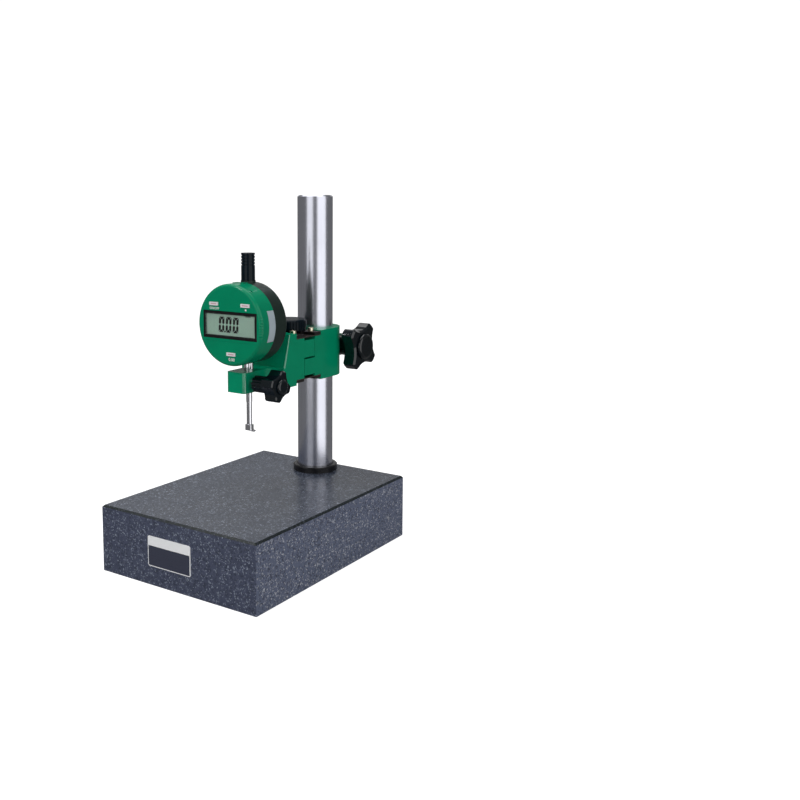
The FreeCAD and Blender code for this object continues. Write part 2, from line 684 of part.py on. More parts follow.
# Split cotter that grips the stem, with its rod and knob
cotter_x = half_nose + of.cotter_proud
relief_height = 3 * of.cotter
stem_relief = cylinder(stem_hole, relief_height, (0, stem_y, cotter_z - relief_height / 2))
rod_bore = of.cotter_rod + 2 * of.slide_gap
outer_cotter = cut(
    cylinder(of.cotter, cotter_x - of.cotter_split / 2, (of.cotter_split / 2, cotter_y, cotter_z), "X"),
    stem_relief, cylinder(rod_bore, 2 * cotter_x, (0, cotter_y, cotter_z), "X"))
keep("stem_cotter", outer_cotter)
stem_insert_length = of.stem_grip_neck + of.stem_grip_head - of.insert_cover
inner_length = half_nose - of.cotter_inset - of.cotter_split / 2
inner_x = of.cotter_inset - half_nose
keep("stem_cotter_bolt", cut(
    fuse(cylinder(of.cotter, inner_length, (inner_x, cotter_y, cotter_z), "X"),
         cylinder(of.cotter_rod, cotter_x + stem_insert_length - of.end_gap - inner_x,
                  (inner_x, cotter_y, cotter_z), "X")),
    cylinder(stem_hole, relief_height, (0, stem_y, cotter_z - relief_height / 2))))
stem_insert_bore = of.cotter_rod + 2 * of.insert_wall + 2 * of.fit_gap
grip("stem_knob", "stem", (cotter_x + of.slide_gap, cotter_y, cotter_z), of.stem_grip_turn,
     stem_insert_bore, of.stem_hub_flutes)
insert("stem_knob_insert", of.cotter_rod, stem_insert_length, (cotter_x + of.slide_gap, cotter_y, cotter_z))

# Fine adjustment: knob, screw and the pad that takes its thrust
fine_low = arm_low + of.fine_knob_rise
fine_bore = of.fine_screw + 2 * of.fit_gap
wheel = body("fine_knob")
wheel_pad = pad(wheel, ring(sketch(wheel, "XY_Plane"), of.fine_knob), of.fine_knob_height)
soften(wheel, wheel_pad, either(flat_at("Z", 0), flat_at("Z", of.fine_knob_height)), of.fine_knob_edge,
       "Chamfer")
groove = pocket(wheel, ring(sketch(wheel, "XY_Plane"), of.fine_knob_groove, of.fine_knob / 2, 0),
                4 * of.fine_knob_height, both=True)
repeat(wheel, groove, of.fine_knob_grooves)
pocket(wheel, ring(sketch(wheel, "XY_Plane"), fine_bore, 0, 0), 2 * of.fine_screw_hold, both=True)
place(wheel, (0, fine_y, fine_low))
tip_top = split_low + of.running_gap + of.fine_tip_height
keep("fine_screw", fuse(
    cylinder(of.fine_tip, of.fine_tip_height, (0, fine_y, split_low + of.running_gap)),
    cylinder(of.fine_screw, fine_low + of.fine_screw_hold - of.running_gap - tip_top, (0, fine_y, tip_top))))
thrust_low = split_low - of.thrust_pad_height
keep("thrust_pad", cylinder(of.thrust_pad, of.thrust_pad_height, (0, fine_y, thrust_low)))


# Front shell of the indicator, open at the back, with its display and button openings
lcd_x = of.lcd_right
lcd_z = face_z - of.lcd_drop
buttons = {
    "button_left": (of.left_button, face_z + of.upper_button_rise),
    "button_right": (of.right_button, face_z + of.upper_button_rise),
    "button_zero": (of.zero_button, face_z - face_radius + of.zero_button_inset),
}
posts = [(across * of.post_across / 2, face_z + up * of.post_up / 2)
         for across in (-1, 1) for up in (-1, 1)]
board_back = seam_y + of.board_thickness / 2 - of.board_lead
board_front = board_back - of.board_thickness


def panel(drawing, x, z, width, height):
    # a rectangle about its middle, seen from the front
    return rectangle(drawing, x - width / 2, x + width / 2, z - height / 2, z + height / 2)


front = body("front_shell")
front_inside = of.face_diameter - 2 * of.shell_wall
front_pad = pad(front, ring(sketch(front, "XZ_Plane", -face_y), of.face_diameter, 0, face_z),
                of.front_depth, backwards=True)
soften(front, front_pad, flat_at("Y", face_y), of.face_edge)
lug_z = face_z + face_radius + of.lug_proud - of.lug_height / 2
pad(front, panel(sketch(front, "XZ_Plane", -seam_y), 0, lug_z, of.lug_width, of.lug_height), of.lug_depth)
pocket(front, ring(sketch(front, "XZ_Plane", -seam_y), front_inside, 0, face_z),
       of.front_depth - of.face_wall, backwards=True)
posts_drawing = sketch(front, "XZ_Plane", -board_front)
for x, z in posts:
    ring(posts_drawing, of.post, x, z)
pad(front, posts_drawing, board_front - inner_y)
case_screw_hole = of.case_screw + 2 * of.slide_gap
holes_drawing = sketch(front, "XZ_Plane", -board_front)
for x, z in posts:
    ring(holes_drawing, case_screw_hole, x, z)
pocket(front, holes_drawing, of.case_screw_length, both=True)
opening = panel(sketch(front, "XZ_Plane", -face_y), lcd_x, lcd_z, of.lcd_width + 2 * of.slide_gap,
                of.lcd_height + 2 * of.slide_gap)
pocket(front, opening, 4 * of.face_wall, both=True)
for x, z in buttons.values():
    hole = panel(sketch(front, "XZ_Plane", -face_y), x, z, of.button_width + 2 * of.slide_gap,
                 of.button_height + 2 * of.slide_gap)
    pocket(front, hole, 4 * of.face_wall, both=True)
tray_front = seam_y - of.tray_width
slot = rectangle(sketch(front, "YZ_Plane", face_radius), tray_front - of.slide_gap, seam_y + past,
                 face_z - of.tray_height / 2 - of.slide_gap, face_z + of.tray_height / 2 + of.slide_gap)
pocket(front, slot, 2 * of.tray_slot, both=True)
face_line = panel(sketch(front, "XZ_Plane", -face_y), lcd_x, lcd_z - of.face_line_drop, of.face_line_width,
                  of.face_line)
pocket(front, face_line, 2 * of.face_line_depth, both=True)

# Notches across the rounded edge of the face, abreast of the battery drawer
diagonal = math.sqrt(0.5)
edge_radius = face_radius - of.face_edge * (1 - diagonal)
edge_y = face_y + of.face_edge * (1 - diagonal)
for index in range(sizes["notches"]):
    step = index - (sizes["notches"] - 1) / 2
    swing = step * sizes["notch_pitch"] / (sizes["face_diameter"] / 2)
    slant = Vector(math.cos(swing) * diagonal, diagonal, math.sin(swing) * diagonal)
    start = edge_radius - of.notch_length / 2 * diagonal
    carve(front, "Cylinder", {"Radius": of.notch / 2, "Height": of.notch_length},
          (start * math.cos(swing), edge_y - of.notch_length / 2 * diagonal,
           face_z + start * math.sin(swing)),
          Rotation(Vector(0, 0, 1), slant))

# Short slot across the rim near its top, on the right
lean = math.radians(rim_slot_lean)
slot_foot = face_radius - of.rim_slot_depth
carve(front, "Box", {"Length": of.rim_slot_width, "Width": of.rim_slot_length,
                     "Height": 2 * of.rim_slot_depth},
      (slot_foot * math.sin(lean) - of.rim_slot_width / 2 * math.cos(lean), face_y + of.rim_slot_lead,
       face_z + slot_foot * math.cos(lean) + of.rim_slot_width / 2 * math.sin(lean)),
      Rotation(Vector(0, 1, 0), rim_slot_lean))

# Rear shell with bosses for stem and bush, posts for the case screws
rear = body("rear_shell")
rear_inside = rear_diameter - 2 * of.shell_wall
wall_y = back_y - of.shell_wall
rear_pad = pad(rear, ring(sketch(rear, "XY_Plane"), rear_diameter), of.rear_depth)
soften(rear, rear_pad, flat_at("Z", of.rear_depth), of.rear_edge)
pocket(rear, ring(sketch(rear, "XY_Plane"), rear_inside), 2 * (of.rear_depth - of.shell_wall), both=True)
# this body lies on its back: its own Z runs to the rear and its own Y runs down
boss_z = stem_y - seam_y
low_boss = rear_diameter / 2 - of.boss_rise
for start, end in ((low_boss - of.boss_height, low_boss), (-low_boss, of.boss_height - low_boss)):
    boss = rectangle(sketch(rear, "XY_Plane", boss_z - of.boss_front), -of.boss_width / 2, of.boss_width / 2,
                     start, end)
    pad(rear, boss, of.boss_front + of.boss_rear)
neck = ring(sketch(rear, "XZ_Plane", low_boss - past), of.neck_diameter, 0, boss_z)
pad(rear, neck, neck_top - face_z - low_boss + past)
stem_bore = ring(sketch(rear, "XZ_Plane", -low_boss), of.stem_diameter + 2 * of.fit_gap, 0, boss_z)
pocket(rear, stem_bore, 4 * of.boss_height, both=True)
bush_bore = ring(sketch(rear, "XZ_Plane", low_boss), of.upper_bush + 2 * of.fit_gap, 0, boss_z)
pocket(rear, bush_bore, 4 * of.boss_height, both=True)
post_end = of.board_thickness / 2 - of.board_lead
rear_posts = sketch(rear, "XY_Plane", post_end)
rear_holes = sketch(rear, "XY_Plane", post_end)
rear_recess = sketch(rear, "XY_Plane", of.rear_depth)
for x, z in posts:
    ring(rear_posts, of.post, x, face_z - z)
    ring(rear_holes, case_screw_hole, x, face_z - z)
    ring(rear_recess, of.case_screw_head + 2 * of.slide_gap, x, face_z - z)
pad(rear, rear_posts, of.rear_depth - of.shell_wall - post_end)
pocket(rear, rear_holes, 4 * of.rear_depth, both=True)
pocket(rear, rear_recess, 2 * of.case_screw_cap, both=True)
place(rear, (0, seam_y, face_z), along["Y"])

keep("case_screws", group(*[fuse(
    cylinder(of.case_screw_head, of.case_screw_cap, (x, back_y - of.case_screw_cap, z), "Y"),
    cylinder(of.case_screw, of.case_screw_length, (x, back_y - of.case_screw_cap - of.case_screw_length, z),
             "Y")) for x, z in posts]))


def slab(width, depth, height, x, y, z):
    # a block given by its middle in X and Z and its front in Y
    return box(width, depth, height, (x - width / 2, y, z - height / 2))


# Display
glass_width = of.lcd_width - 2 * of.lcd_border
glass_height = of.lcd_height - 2 * of.lcd_border
frame_y = face_y - of.bezel_proud
keep("lcd_bezel", cut(slab(of.lcd_width, inner_y - frame_y, of.lcd_height, lcd_x, frame_y, lcd_z),
                      slab(glass_width, 4 * of.face_wall, glass_height, lcd_x, frame_y - past, lcd_z)))
keep("lcd_window", slab(glass_width - 2 * of.fit_gap, of.window_thickness, glass_height - 2 * of.fit_gap,
                        lcd_x, inner_y - of.lcd_gap - of.window_thickness, lcd_z))
keep("lcd_panel", slab(of.lcd_width - 2 * of.lcd_inset, of.lcd_thickness, of.lcd_height - 2 * of.lcd_inset,
                       lcd_x, inner_y, lcd_z))
panel_back = inner_y + of.lcd_thickness
connector_x = of.connector_width / 2 - of.connector_left
connector_z = lcd_z - of.lcd_height / 2 + of.connector_height
keep("lcd_connector", slab(of.connector_width, board_front - panel_back, of.connector_height, connector_x,
                           panel_back, connector_z))

# Buttons: a cap in the face, a flange behind it and a post towards the board
pad_front = board_front - of.pad_thickness
for name, (x, z) in buttons.items():
    flange_y = inner_y + of.slide_gap
    button_end = pad_front - of.button_travel - of.slide_gap
    keep(name, fuse(
        slab(of.button_width, flange_y - face_y + of.button_proud, of.button_height, x,
             face_y - of.button_proud, z),
        slab(of.button_width + 2 * of.button_flange, of.button_flange_depth,
             of.button_height + 2 * of.button_flange, x, flange_y, z),
        cylinder(of.button_post, button_end - flange_y, (x, flange_y, z), "Y")))
keep("button_pads", group(*[cylinder(of.pad_diameter, of.pad_thickness, (x, pad_front, z), "Y")
                            for x, z in buttons.values()]))

# Circuit board and its chip
keep("circuit_board", cut(
    cylinder(front_inside - 2 * of.board_margin, of.board_thickness, (0, board_front, face_z), "Y"),
    *[cylinder(case_screw_hole, of.board_thickness + 2 * past, (x, board_front - past, z), "Y")
      for x, z in posts]))
keep("sensor_chip", slab(of.chip_side, of.chip_thickness, of.chip_side, -of.chip_left,
                         board_front - of.chip_thickness, face_z - of.chip_drop))

# Battery drawer: shelf with a round pocket behind a panel that follows the rim
shelf_y = seam_y - of.tray_lead
shelf_height = of.cell_diameter + 2 * of.cell_margin
tray_x = face_radius - of.tray_reach
cell_x = tray_x + shelf_height / 2
pocket_depth = of.cell_thickness + of.slide_gap
drawer = common(
    fuse(box(of.tray_reach, of.tray_depth, shelf_height, (tray_x, shelf_y, face_z - shelf_height / 2)),
         box(of.tray_panel, of.tray_width - of.slide_gap, of.tray_height,
             (face_radius - of.tray_panel, tray_front, face_z - of.tray_height / 2))),
    cylinder(of.face_diameter, of.front_depth, (0, face_y, face_z), "Y"))
keep("battery_tray", cut(drawer, cylinder(of.cell_diameter + 2 * of.slide_gap, pocket_depth + past,
                                          (cell_x, shelf_y - past, face_z), "Y")))
keep("coin_cell", cylinder(of.cell_diameter, of.cell_thickness,
                           (cell_x, shelf_y + pocket_depth - of.cell_thickness, face_z), "Y"))
holder_width = of.tray_reach - of.tray_panel - 2 * of.free_gap
holder_x = tray_x + of.free_gap + holder_width / 2
keep("battery_holder", slab(holder_width, of.holder_thickness, of.holder_height, holder_x,
                            board_front - of.holder_thickness, face_z))

# Stem with a flange that rests on the boss inside, and its bush
stem_low = arm_low + of.stem_inset
boss_top = face_z - low_boss + of.boss_height
keep("stem", cut(
    fuse(cylinder(of.stem_diameter, boss_top - stem_low, (0, stem_y, stem_low)),
         cylinder(of.stem_flange, of.stem_flange_height, (0, stem_y, boss_top))),
    cylinder(of.stem_bore, of.face_rise, (0, stem_y, stem_low - past))))
bush_bore_size = of.spindle_diameter + 2 * of.running_gap
keep("lower_bush", tube(of.stem_bore - 2 * of.fit_gap, bush_bore_size, of.bush_length,
                        (0, stem_y, stem_low + of.free_gap)))
bush_low = neck_top - of.upper_bush_length
cap_bore = of.cap_diameter - 2 * of.cap_wall
keep("upper_bush", cut(
    fuse(cylinder(of.upper_bush, of.upper_bush_length, (0, stem_y, bush_low)),
         cylinder(cap_bore - 2 * of.fit_gap, of.cap_thread, (0, stem_y, neck_top))),
    cylinder(bush_bore_size, of.upper_bush_length + of.cap_thread + 2 * past, (0, stem_y, bush_low - past))))

# Cap over the top of the spindle, with gripping rings near its end
cap_top = neck_top + of.cap_height
cap_outside = cylinder(of.cap_diameter, of.cap_height, (0, stem_y, neck_top))
cap_rings = []
for index in range(sizes["cap_ribs"]):
    ring_low = cap_top - of.cap_rib_pitch * (index + 1)
    cap_rings.append(tube(of.cap_diameter + 2 * past, of.cap_diameter - 2 * of.cap_rib_depth,
                          of.cap_rib_width, (0, stem_y, ring_low)))
keep("spindle_cap", cut(cap_outside, *cap_rings,
                        cylinder(cap_bore, of.cap_height - of.cap_wall, (0, stem_y, neck_top))))

# Spindle, and what it carries inside the case
spindle_low = arm_low - of.spindle_drop
spindle_end = neck_top + of.spindle_proud
spigot_bore = of.rod_spigot + 2 * of.fit_gap
keep("spindle", cut(cylinder(of.spindle_diameter, spindle_end - spindle_low, (0, stem_y, spindle_low)),
                    cylinder(spigot_bore, of.rod_spigot_length + 2 * past, (0, stem_y, spindle_low - past))))
carrier_low = face_z - of.carrier_drop
carrier_middle = carrier_low + of.carrier_height / 2
carrier_y = stem_y - of.carrier_front
pin_bore = of.guide_pin + 2 * of.fit_gap
keep("scale_carrier", cut(
    box(of.carrier_width, of.carrier_front + of.carrier_rear, of.carrier_height,
        (-of.carrier_width / 2, carrier_y, carrier_low)),
    cylinder(of.spindle_diameter + 2 * of.fit_gap, of.carrier_height + 2 * past,
             (0, stem_y, carrier_low - past)),
    cylinder(pin_bore, of.carrier_width, (-of.carrier_width, stem_y, carrier_middle), "X")))
keep("scale_strip", slab(of.strip_width, of.strip_thickness, of.strip_height, 0,
                         carrier_y - of.strip_thickness, carrier_middle))
pin_end = -of.spindle_diameter / 2 - of.fit_gap * 2
keep("guide_pin", cylinder(of.guide_pin, of.guide_pin_length + pin_end,
                           (-of.guide_pin_length, stem_y, carrier_middle), "X"))
rail_low = face_z - of.rail_drop
rail_slot = of.guide_pin + 2 * of.slide_gap
keep("guide_rail", cut(
    box(of.rail_width, wall_y - stem_y + of.rail_front, of.rail_height,
        (-of.rail_left, stem_y - of.rail_front, rail_low)),
    box(of.rail_width + 2 * past, rail_slot, of.rail_height - 2 * of.rail_end,
        (-of.rail_left - past, stem_y - rail_slot / 2, rail_low + of.rail_end))))

# Coil spring that pushes the spindle down
coil_low = carrier_low + of.carrier_height + of.free_gap + of.spring_wire / 2
coil_height = bush_low - of.free_gap - of.spring_wire / 2 - coil_low
helix = doc.addObject("Part::Helix", "Coil")
helix.Radius = bind(helix, "Radius", of.spring_diameter / 2)
helix.Pitch = bind(helix, "Pitch", coil_height / of.spring_turns)
helix.Height = bind(helix, "Height", coil_height)
helix.SegmentLength = 1
wire = doc.addObject("Part::Circle", "Wire")
wire.Radius = bind(wire, "Radius", of.spring_wire / 2)
place(wire, (of.spring_diameter / 2, 0, 0), Rotation(Vector(1, 0, 0), 90))
coil = doc.addObject("Part::Sweep", "Spring")
coil.Sections = [wire]
coil.Spine = (helix, [f"Edge{turn}" for turn in range(1, sizes["spring_turns"] + 1)])
coil.Solid = True
coil.Frenet = True
place(coil, (0, stem_y, coil_low))
keep("return_spring", coil)

# Contact rod screwed into the spindle, and the hooked tip that reaches into a groove
rod_low = spindle_low - of.rod_length
keep("contact_rod", fuse(cylinder(of.rod_diameter, of.rod_length, (0, stem_y, rod_low)),
                         cylinder(of.rod_spigot, of.rod_spigot_length, (0, stem_y, spindle_low))))
tip = body("groove_tip")
tip_low = rod_low - of.tip_height
tip_pad = pad(tip, rectangle(sketch(tip, "XY_Plane", tip_low), -of.tip_width / 2, of.tip_width / 2,
                             stem_y - of.tip_depth / 2, stem_y + of.tip_depth / 2), of.tip_height)
soften(tip, tip_pad, straight_along("Z"), of.tip_edge, "Chamfer")
nib_low = tip_low - of.nib_height / 2
pad(tip, rectangle(sketch(tip, "XY_Plane", nib_low), of.tip_width / 4, of.tip_width / 2 + of.nib_reach,
                   stem_y - of.nib_width / 2, stem_y + of.nib_width / 2), of.nib_height)

doc.recompute()

for thing in doc.Objects:
    if "Invalid" in thing.State or "Error" in thing.State:
        raise RuntimeError(f"{thing.Name} ({thing.Label}) is {thing.State}")
for name, thing in nodes.items():
    if thing.Shape.isNull() or not thing.Shape.isValid():
        raise RuntimeError(f"{name} has no valid shape")

os.makedirs("parts", exist_ok=True)
for name, thing in nodes.items():
    thing.Shape.exportStep(f"parts/{name}.step")
print(len(nodes), "nodes")
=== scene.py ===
import json
import math

import bmesh
import bpy
from mathutils import Matrix, Vector


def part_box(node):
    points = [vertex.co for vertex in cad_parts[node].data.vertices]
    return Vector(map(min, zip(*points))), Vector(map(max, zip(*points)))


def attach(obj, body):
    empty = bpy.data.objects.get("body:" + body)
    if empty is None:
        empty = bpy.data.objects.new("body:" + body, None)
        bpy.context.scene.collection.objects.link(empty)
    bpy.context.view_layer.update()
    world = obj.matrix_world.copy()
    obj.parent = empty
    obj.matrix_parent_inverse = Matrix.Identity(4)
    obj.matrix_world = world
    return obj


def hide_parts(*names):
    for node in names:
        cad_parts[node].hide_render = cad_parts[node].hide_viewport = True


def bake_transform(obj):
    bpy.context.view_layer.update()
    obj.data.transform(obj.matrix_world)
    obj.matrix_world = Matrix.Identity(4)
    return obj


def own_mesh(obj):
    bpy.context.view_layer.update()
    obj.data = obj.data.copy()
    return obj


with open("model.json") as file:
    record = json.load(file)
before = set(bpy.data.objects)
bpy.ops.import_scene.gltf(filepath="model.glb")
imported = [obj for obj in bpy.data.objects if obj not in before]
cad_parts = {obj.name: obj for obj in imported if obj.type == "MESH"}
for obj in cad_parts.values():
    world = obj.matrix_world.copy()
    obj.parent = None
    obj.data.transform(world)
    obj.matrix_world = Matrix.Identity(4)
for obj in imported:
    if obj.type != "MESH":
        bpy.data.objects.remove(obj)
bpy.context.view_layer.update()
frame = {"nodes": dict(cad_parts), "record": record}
mm = 0.001
scene = bpy.context.scene
print("frame loaded:", len(frame["nodes"]), "nodes")


# Short ways to write shader nodes

def setSocket(tree, socket, value):
    # another node's output is linked in, and a number or a colour is written on the socket
    if isinstance(value, bpy.types.NodeSocket):
        tree.links.new(value, socket)
    elif socket.type == "RGBA":
        socket.default_value = (*value, 1.0)
    else:
        socket.default_value = value


def addNode(tree, kind, inputs=None, **settings):
    node = tree.nodes.new(kind)
    for key, value in settings.items():
        setattr(node, key, value)
    for key, value in (inputs or {}).items():
        setSocket(tree, node.inputs[key], value)
    return node


def calculate(tree, operation, *values):
    return addNode(tree, "ShaderNodeMath", dict(enumerate(values)), operation=operation).outputs[0]


def calculateVector(tree, operation, *values):
    return addNode(tree, "ShaderNodeVectorMath", dict(enumerate(values)), operation=operation).outputs[0]


def spread(tree, value, span, newSpan=(0.0, 1.0)):
    # carries a value from one span of numbers to another and holds it there
    return addNode(tree, "ShaderNodeMapRange", {
        "Value": value, "From Min": span[0], "From Max": span[1],
        "To Min": newSpan[0], "To Max": newSpan[1]}).outputs[0]


def objectPlace(tree):
    return addNode(tree, "ShaderNodeTexCoord").outputs["Object"]


def noise(tree, place, scale, detail, roughness=0.5):
    return addNode(tree, "ShaderNodeTexNoise", {
        "Vector": place, "Scale": scale, "Detail": detail, "Roughness": roughness}).outputs


def blendColours(tree, factor, first, second):
    mix = addNode(tree, "ShaderNodeMix", {0: factor}, data_type="RGBA")
    firstSocket, secondSocket = [socket for socket in mix.inputs if socket.type == "RGBA"]
    setSocket(tree, firstSocket, first)
    setSocket(tree, secondSocket, second)
    return [socket for socket in mix.outputs if socket.type == "RGBA"][0]


# Shader node groups that several finishes share

def newGroup(name, inputs, outputs):
    # each input comes with its usual value, and three numbers make a vector input
    group = bpy.data.node_groups.new(name, "ShaderNodeTree")
    for label, value in inputs.items():
        kind = "NodeSocketVector" if isinstance(value, tuple) else "NodeSocketFloat"
        group.interface.new_socket(label, in_out="INPUT", socket_type=kind).default_value = value
    for label in outputs:
        group.interface.new_socket(label, in_out="OUTPUT", socket_type="NodeSocketFloat")
    return group, group.nodes.new("NodeGroupInput").outputs, group.nodes.new("NodeGroupOutput").inputs


grainLook = {"detail": 3.0, "harshness": 0.6, "cloudSize": 45.0, "cloudDetail": 4.0, "cloudHarshness": 0.55,
             "span": (0.12, 0.42)}


def buildGrain(look):
    # fine uneven grain: a height and a roughness that vary together
    group, into, out = newGroup("fineGrain", {"Size": 900.0, "Rough Low": 0.3, "Rough High": 0.45},
                                ("Height", "Roughness"))
    place = objectPlace(group)
    fine = noise(group, place, into["Size"], look["detail"], look["harshness"])["Fac"]
    cloud = noise(group, place, look["cloudSize"], look["cloudDetail"], look["cloudHarshness"])["Fac"]
    mixed = calculate(group, "MULTIPLY", fine, cloud)
    rough = spread(group, mixed, look["span"], (into["Rough Low"], into["Rough High"]))
    setSocket(group, out["Height"], fine)
    setSocket(group, out["Roughness"], rough)
    return group


brushedLook = {"detail": 5.0, "harshness": 0.7, "cloudSize": 28.0, "cloudDetail": 3.0,
               "lineSpan": (0.3, 0.7), "shadeSpan": (0.7, 1.3)}


def buildBrushed(look):
    # lines left by grinding or turning: Stretch is the pattern's size along each axis
    group, into, out = newGroup(
        "brushedLines", {"Stretch": (1.0, 1.0, 1.0), "Rough Low": 0.2, "Rough High": 0.4},
        ("Height", "Roughness", "Shade"))
    place = objectPlace(group)
    stretched = calculateVector(group, "MULTIPLY", place, into["Stretch"])
    lines = noise(group, stretched, 1.0, look["detail"], look["harshness"])["Fac"]
    cloud = noise(group, place, look["cloudSize"], look["cloudDetail"])["Fac"]
    rough = spread(group, lines, look["lineSpan"], (into["Rough Low"], into["Rough High"]))
    setSocket(group, out["Height"], lines)
    setSocket(group, out["Roughness"], rough)
    setSocket(group, out["Shade"], spread(group, calculate(group, "ADD", lines, cloud), look["shadeSpan"]))
    return group


speckleLook = {"bendSize": 260.0, "bendDetail": 2.0, "bend": 4.0}  # bend in millimetres


def buildSpeckle(look):
    # crystals of one mineral: a mask that is on in a share of small bent cells, and a tone for each
    group, into, out = newGroup("speckle", {"Size": 700.0, "Share": 0.2, "Shift": (0.0, 0.0, 0.0)},
                                ("Mask", "Tone"))
    moved = calculateVector(group, "ADD", objectPlace(group), into["Shift"])
    bend = noise(group, moved, look["bendSize"], look["bendDetail"])["Color"]
    bent = calculateVector(group, "MULTIPLY", bend, (look["bend"] * mm,) * 3)
    cell = addNode(group, "ShaderNodeTexVoronoi", {
        "Vector": calculateVector(group, "ADD", moved, bent), "Scale": into["Size"],
        "Randomness": 1.0}).outputs["Color"]
    parts = addNode(group, "ShaderNodeSeparateColor", {"Color": cell}).outputs
    setSocket(group, out["Mask"], calculate(group, "LESS_THAN", parts[0], into["Share"]))
    setSocket(group, out["Tone"], parts[1])
    return group


grain = buildGrain(grainLook)
brushed = buildBrushed(brushedLook)
speckle = buildSpeckle(speckleLook)
print("shader groups built")


# Finishes; a relief is in millimetres

def newFinish(name, sockets):
    material = bpy.data.materials.new(name)
    material.use_nodes = True
    tree = material.node_tree
    shader = tree.nodes["Principled BSDF"]
    for label, value in sockets.items():
        setSocket(tree, shader.inputs[label], value)
    return material, tree, shader.inputs


def useGroup(tree, group, inputs):
    node = addNode(tree, "ShaderNodeGroup", node_tree=group)
    for label, value in inputs.items():
        setSocket(tree, node.inputs[label], value)
    return node.outputs


def useGrain(tree, size, rough):
    return useGroup(tree, grain, {"Size": size, "Rough Low": rough[0], "Rough High": rough[1]})


def useBrushed(tree, stretch, rough):
    return useGroup(tree, brushed, {"Stretch": stretch, "Rough Low": rough[0], "Rough High": rough[1]})


def addRelief(tree, shader, height, relief):
    bump = addNode(tree, "ShaderNodeBump", {"Height": height, "Distance": relief * mm})
    setSocket(tree, shader["Normal"], bump.outputs["Normal"])


graniteLook = {
    "specular": 0.4, "relief": 0.02, "gloss": 500.0, "polish": (0.36, 0.52), "topPolish": (0.24, 0.34),
    "ground": (0.05, 0.06, 0.104), "groundLight": (0.078, 0.092, 0.15),
    "clouds": 210.0, "cloudDetail": 6.0, "cloudHarshness": 0.7, "cloudSpan": (0.35, 0.65),
    "facing": (0.9, 0.98), "chamferSlope": 0.7, "chamferSpan": 0.2,
    # the side tone and its share are painted light, making the long sides paler where the right side is lit
    # brighter
    "topTone": (0.038, 0.046, 0.062), "topShare": 0.75, "sideTone": (0.17, 0.2, 0.3), "sideShare": 0.6,
    "chamferTone": (0.004, 0.009, 0.01), "chamferShare": 1.0, "chamferFlecks": 0.2,
    "black": (0.02, 0.025, 0.04), "blackSize": 980.0, "blackShare": 0.2, "blackStrength": 0.6,
    "blackShift": (0.3, 0.1, 0.7),
    # the paler side flecks are painted light as well, on the lit long sides
    "pale": (0.3, 0.34, 0.43), "sidePale": (0.62, 0.64, 0.7), "paleSize": 1225.0, "paleShare": 0.15,
}


def makeGranite(look):
    material, tree, shader = newFinish("granite", {"Specular IOR Level": look["specular"]})
    place = objectPlace(tree)
    clouds = noise(tree, place, look["clouds"], look["cloudDetail"], look["cloudHarshness"])["Fac"]
    body = blendColours(tree, spread(tree, clouds, look["cloudSpan"]), look["ground"], look["groundLight"])

    # the lapped top is greyer and the chamfer is dark as if wet, while the long sides get painted light: a
    # paler tone and paler flecks, as the right side is lit brighter
    facing = addNode(tree, "ShaderNodeSeparateXYZ", {
        "Vector": addNode(tree, "ShaderNodeNewGeometry").outputs["True Normal"]}).outputs
    onTop = spread(tree, facing["Z"], look["facing"])
    litSides = spread(tree, calculate(tree, "ABSOLUTE", facing["X"]), look["facing"])
    onChamfer = calculate(tree, "COMPARE", facing["Z"], look["chamferSlope"], look["chamferSpan"])
    for mask, part in ((onTop, "top"), (litSides, "side"), (onChamfer, "chamfer")):
        share = calculate(tree, "MULTIPLY", mask, look[part + "Share"])
        body = blendColours(tree, share, body, look[part + "Tone"])

    black = useGroup(tree, speckle, {
        "Size": look["blackSize"], "Share": look["blackShare"], "Shift": look["blackShift"]})
    strength = calculate(tree, "MULTIPLY", black["Mask"], look["blackStrength"])
    body = blendColours(tree, strength, body, look["black"])

    pale = useGroup(tree, speckle, {"Size": look["paleSize"], "Share": look["paleShare"]})
    strength = calculate(tree, "MULTIPLY", pale["Mask"], pale["Tone"])
    kept = spread(tree, onChamfer, (0.0, 1.0), (1.0, look["chamferFlecks"]))
    strength = calculate(tree, "MULTIPLY", strength, kept)
    # painted light: flecks on the long sides are paler
    fleck = blendColours(tree, litSides, look["pale"], look["sidePale"])
    setSocket(tree, shader["Base Color"], blendColours(tree, strength, body, fleck))

    sawn = useGrain(tree, look["gloss"], look["polish"])
    lapped = useGrain(tree, look["gloss"], look["topPolish"])
    setSocket(tree, shader["Roughness"], addNode(tree, "ShaderNodeMix", {
        "Factor": onTop, "A": sawn["Roughness"], "B": lapped["Roughness"]}).outputs["Result"])
    addRelief(tree, shader, sawn["Height"], look["relief"])
    return material


# the band's near-white is partly the plate's own pale metal and partly a painted reflection
plateLook = {"metal": (0.97, 0.98, 1.0), "field": (0.042, 0.047, 0.078), "bandHeight": 7.2, "margin": 0.7,
             "stretch": (60.0, 60.0, 3000.0), "rough": (0.25, 0.4), "relief": 0.004}


